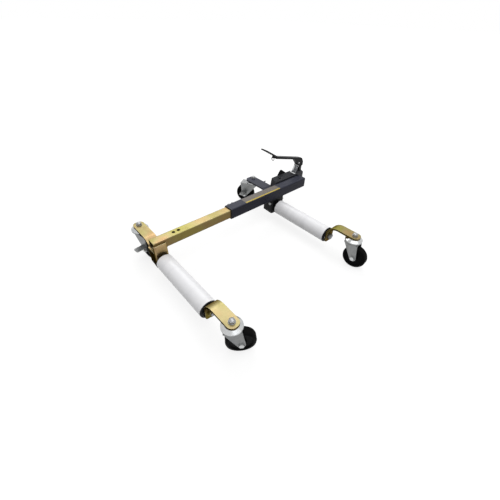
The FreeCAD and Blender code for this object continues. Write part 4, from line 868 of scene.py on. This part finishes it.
def tread_rubber(name):
    """Moulded rubber: a dead matt black with a grey bloom where feet have rubbed its ribs, and its
    upward faces painted grey as a painted highlight.
    The real grain is 0.3 mm and is drawn coarser so that it shows."""
    finish, tree, place = new_finish(name)
    grain = add(tree, "ShaderNodeTexNoise", {"Vector": place, "Scale": 1 / rubber_grain, "Detail": 3.0})
    bloom = add(tree, "ShaderNodeTexNoise", {"Vector": place, "Scale": 1 / bloom_patch, "Detail": 4.0})
    grey = add(tree, "ShaderNodeMapRange",
               {"Value": bloom.outputs[0], "From Min": 0.45, "From Max": 0.75, "To Max": 0.7})
    worn, rounded = worn_edge(tree, tread_edge, start=0.95)
    # Painted highlight: grey on upward faces, with the bloom and rubbed edges.
    shown = tinted(tree, linear(rubber_black),
                   [(grey.outputs[0], rubber_bloom), (facing_share(tree, "Z", lit_tread_slope), rubber_lit_top),
                    (worn, rubber_rubbed)])
    gloss = add(tree, "ShaderNodeMapRange", {"Value": bloom.outputs[0], "To Min": 0.62, "To Max": 0.85})
    relief = add(tree, "ShaderNodeBump", {"Strength": 0.2, "Distance": 0.0004, "Height": grain.outputs[0],
                                          "Normal": rounded})
    return shade(finish, {"Base Color": shown, "Roughness": gloss.outputs[0], "Normal": relief.outputs[0],
                          "Specular IOR Level": 0.25})


dress(["pedal_pad"], tread_rubber("ribbed_tread_rubber"))
dress(["pedal_ring"], black_coat)

# Studio: a pale floor and plain soft light, with one large soft box behind on the right that the
# upper faces mirror. The floor is white where it is seen or mirrored, and keeps the shadow round
# the object; further off it fades into the white backdrop.
floor_grey = "#8f8f8f"
floor_half = 30.0
near_glow = 0.79
fade_start = 0.7
fade_end = 2.2
sky_level = 0.55
lamp_aim = Vector((0, 0, 0.12))
lamps = [{"name": "soft_box", "place": (1.10, 2.10, 2.60), "wide": 2.4, "deep": 2.0, "watts": 34.0},
         {"name": "top_light", "place": (0.1, -0.8, 3.0), "wide": 2.2, "deep": 2.2, "watts": 29.0}]

floor_mesh = bpy.data.meshes.new("floor")
floor_mesh.from_pydata([(-floor_half, -floor_half, 0), (floor_half, -floor_half, 0),
                        (floor_half, floor_half, 0), (-floor_half, floor_half, 0)], [], [(0, 1, 2, 3)])
floor = bpy.data.objects.new("floor", floor_mesh)
bpy.context.scene.collection.objects.link(floor)


def is_shown(tree):
    """1 for rays that see or mirror the backdrop, 0 for those that light the object."""
    rays = add(tree, "ShaderNodeLightPath", {})
    glossy = add(tree, "ShaderNodeMath", {0: rays.outputs["Is Camera Ray"], 1: rays.outputs["Is Glossy Ray"]},
                 operation="MAXIMUM")
    shown = add(tree, "ShaderNodeMath", {0: glossy.outputs[0], 1: rays.outputs["Is Transmission Ray"]},
                operation="MAXIMUM")
    return shown.outputs[0]


floor_paint, floor_tree, floor_place = new_finish("pale_studio_floor")
matt = add(floor_tree, "ShaderNodeBsdfDiffuse", {"Color": linear(floor_grey)})
far = add(floor_tree, "ShaderNodeVectorMath", {0: floor_place}, operation="LENGTH")
fade = add(floor_tree, "ShaderNodeMapRange",
           {"Value": far.outputs["Value"], "From Min": fade_start, "From Max": fade_end,
            "To Min": near_glow, "To Max": 1.0})
glow_level = add(floor_tree, "ShaderNodeMath", {0: is_shown(floor_tree), 1: fade.outputs[0]},
                 operation="MULTIPLY")
glow = add(floor_tree, "ShaderNodeEmission", {"Strength": glow_level.outputs[0]})
lit_floor = add(floor_tree, "ShaderNodeAddShader", {0: matt.outputs[0], 1: glow.outputs[0]})
add(floor_tree, "ShaderNodeOutputMaterial", {"Surface": lit_floor.outputs[0]})
floor_mesh.materials.append(floor_paint)

sky = bpy.data.worlds.new("studio")
bpy.context.scene.world = sky
sky.use_nodes = True
sky.node_tree.nodes.clear()
sky_strength = add(sky.node_tree, "ShaderNodeMapRange",
                   {"Value": is_shown(sky.node_tree), "To Min": sky_level, "To Max": 1.0})
backdrop = add(sky.node_tree, "ShaderNodeBackground",
               {"Color": (1, 1, 1, 1), "Strength": sky_strength.outputs[0]})
add(sky.node_tree, "ShaderNodeOutputWorld", {"Surface": backdrop.outputs[0]})

for lamp in lamps:
    light = bpy.data.lights.new(lamp["name"], "AREA")
    light.shape = "RECTANGLE"
    light.size = lamp["wide"]
    light.size_y = lamp["deep"]
    light.energy = lamp["watts"]
    holder = bpy.data.objects.new(lamp["name"], light)
    bpy.context.scene.collection.objects.link(holder)
    holder.location = lamp["place"]
    holder.rotation_mode = "QUATERNION"
    holder.rotation_quaternion = (lamp_aim - Vector(lamp["place"])).to_track_quat("-Z", "Y")

# Camera: a short lens close to the left front corner, at the photograph's angle. Its place is
# measured from the floor under the left end of the inner tube.
lens = 19.88
sensor = 36.0
tube_end = Vector((tube_low.x, (tube_low.y + tube_high.y) / 2, 0))
eye_from_tube_end = Vector((-0.2599, -0.8389, 0.8260))
eye = tube_end + eye_from_tube_end
look = Vector((0.5103, 0.5596, -0.6530)).normalized()
to_right = Vector((0.7524, -0.6583, 0.0239)).normalized()
upward = to_right.cross(look).normalized()
camera = bpy.data.objects.new("camera", bpy.data.cameras.new("camera"))
camera.data.lens = lens
camera.data.sensor_width = sensor
turned_to_view = Matrix((look.cross(upward), upward, -look)).transposed().to_4x4()
camera.matrix_world = Matrix.Translation(eye) @ turned_to_view
bpy.context.scene.collection.objects.link(camera)
bpy.context.scene.camera = camera
bpy.context.scene.view_settings.view_transform = "Standard"
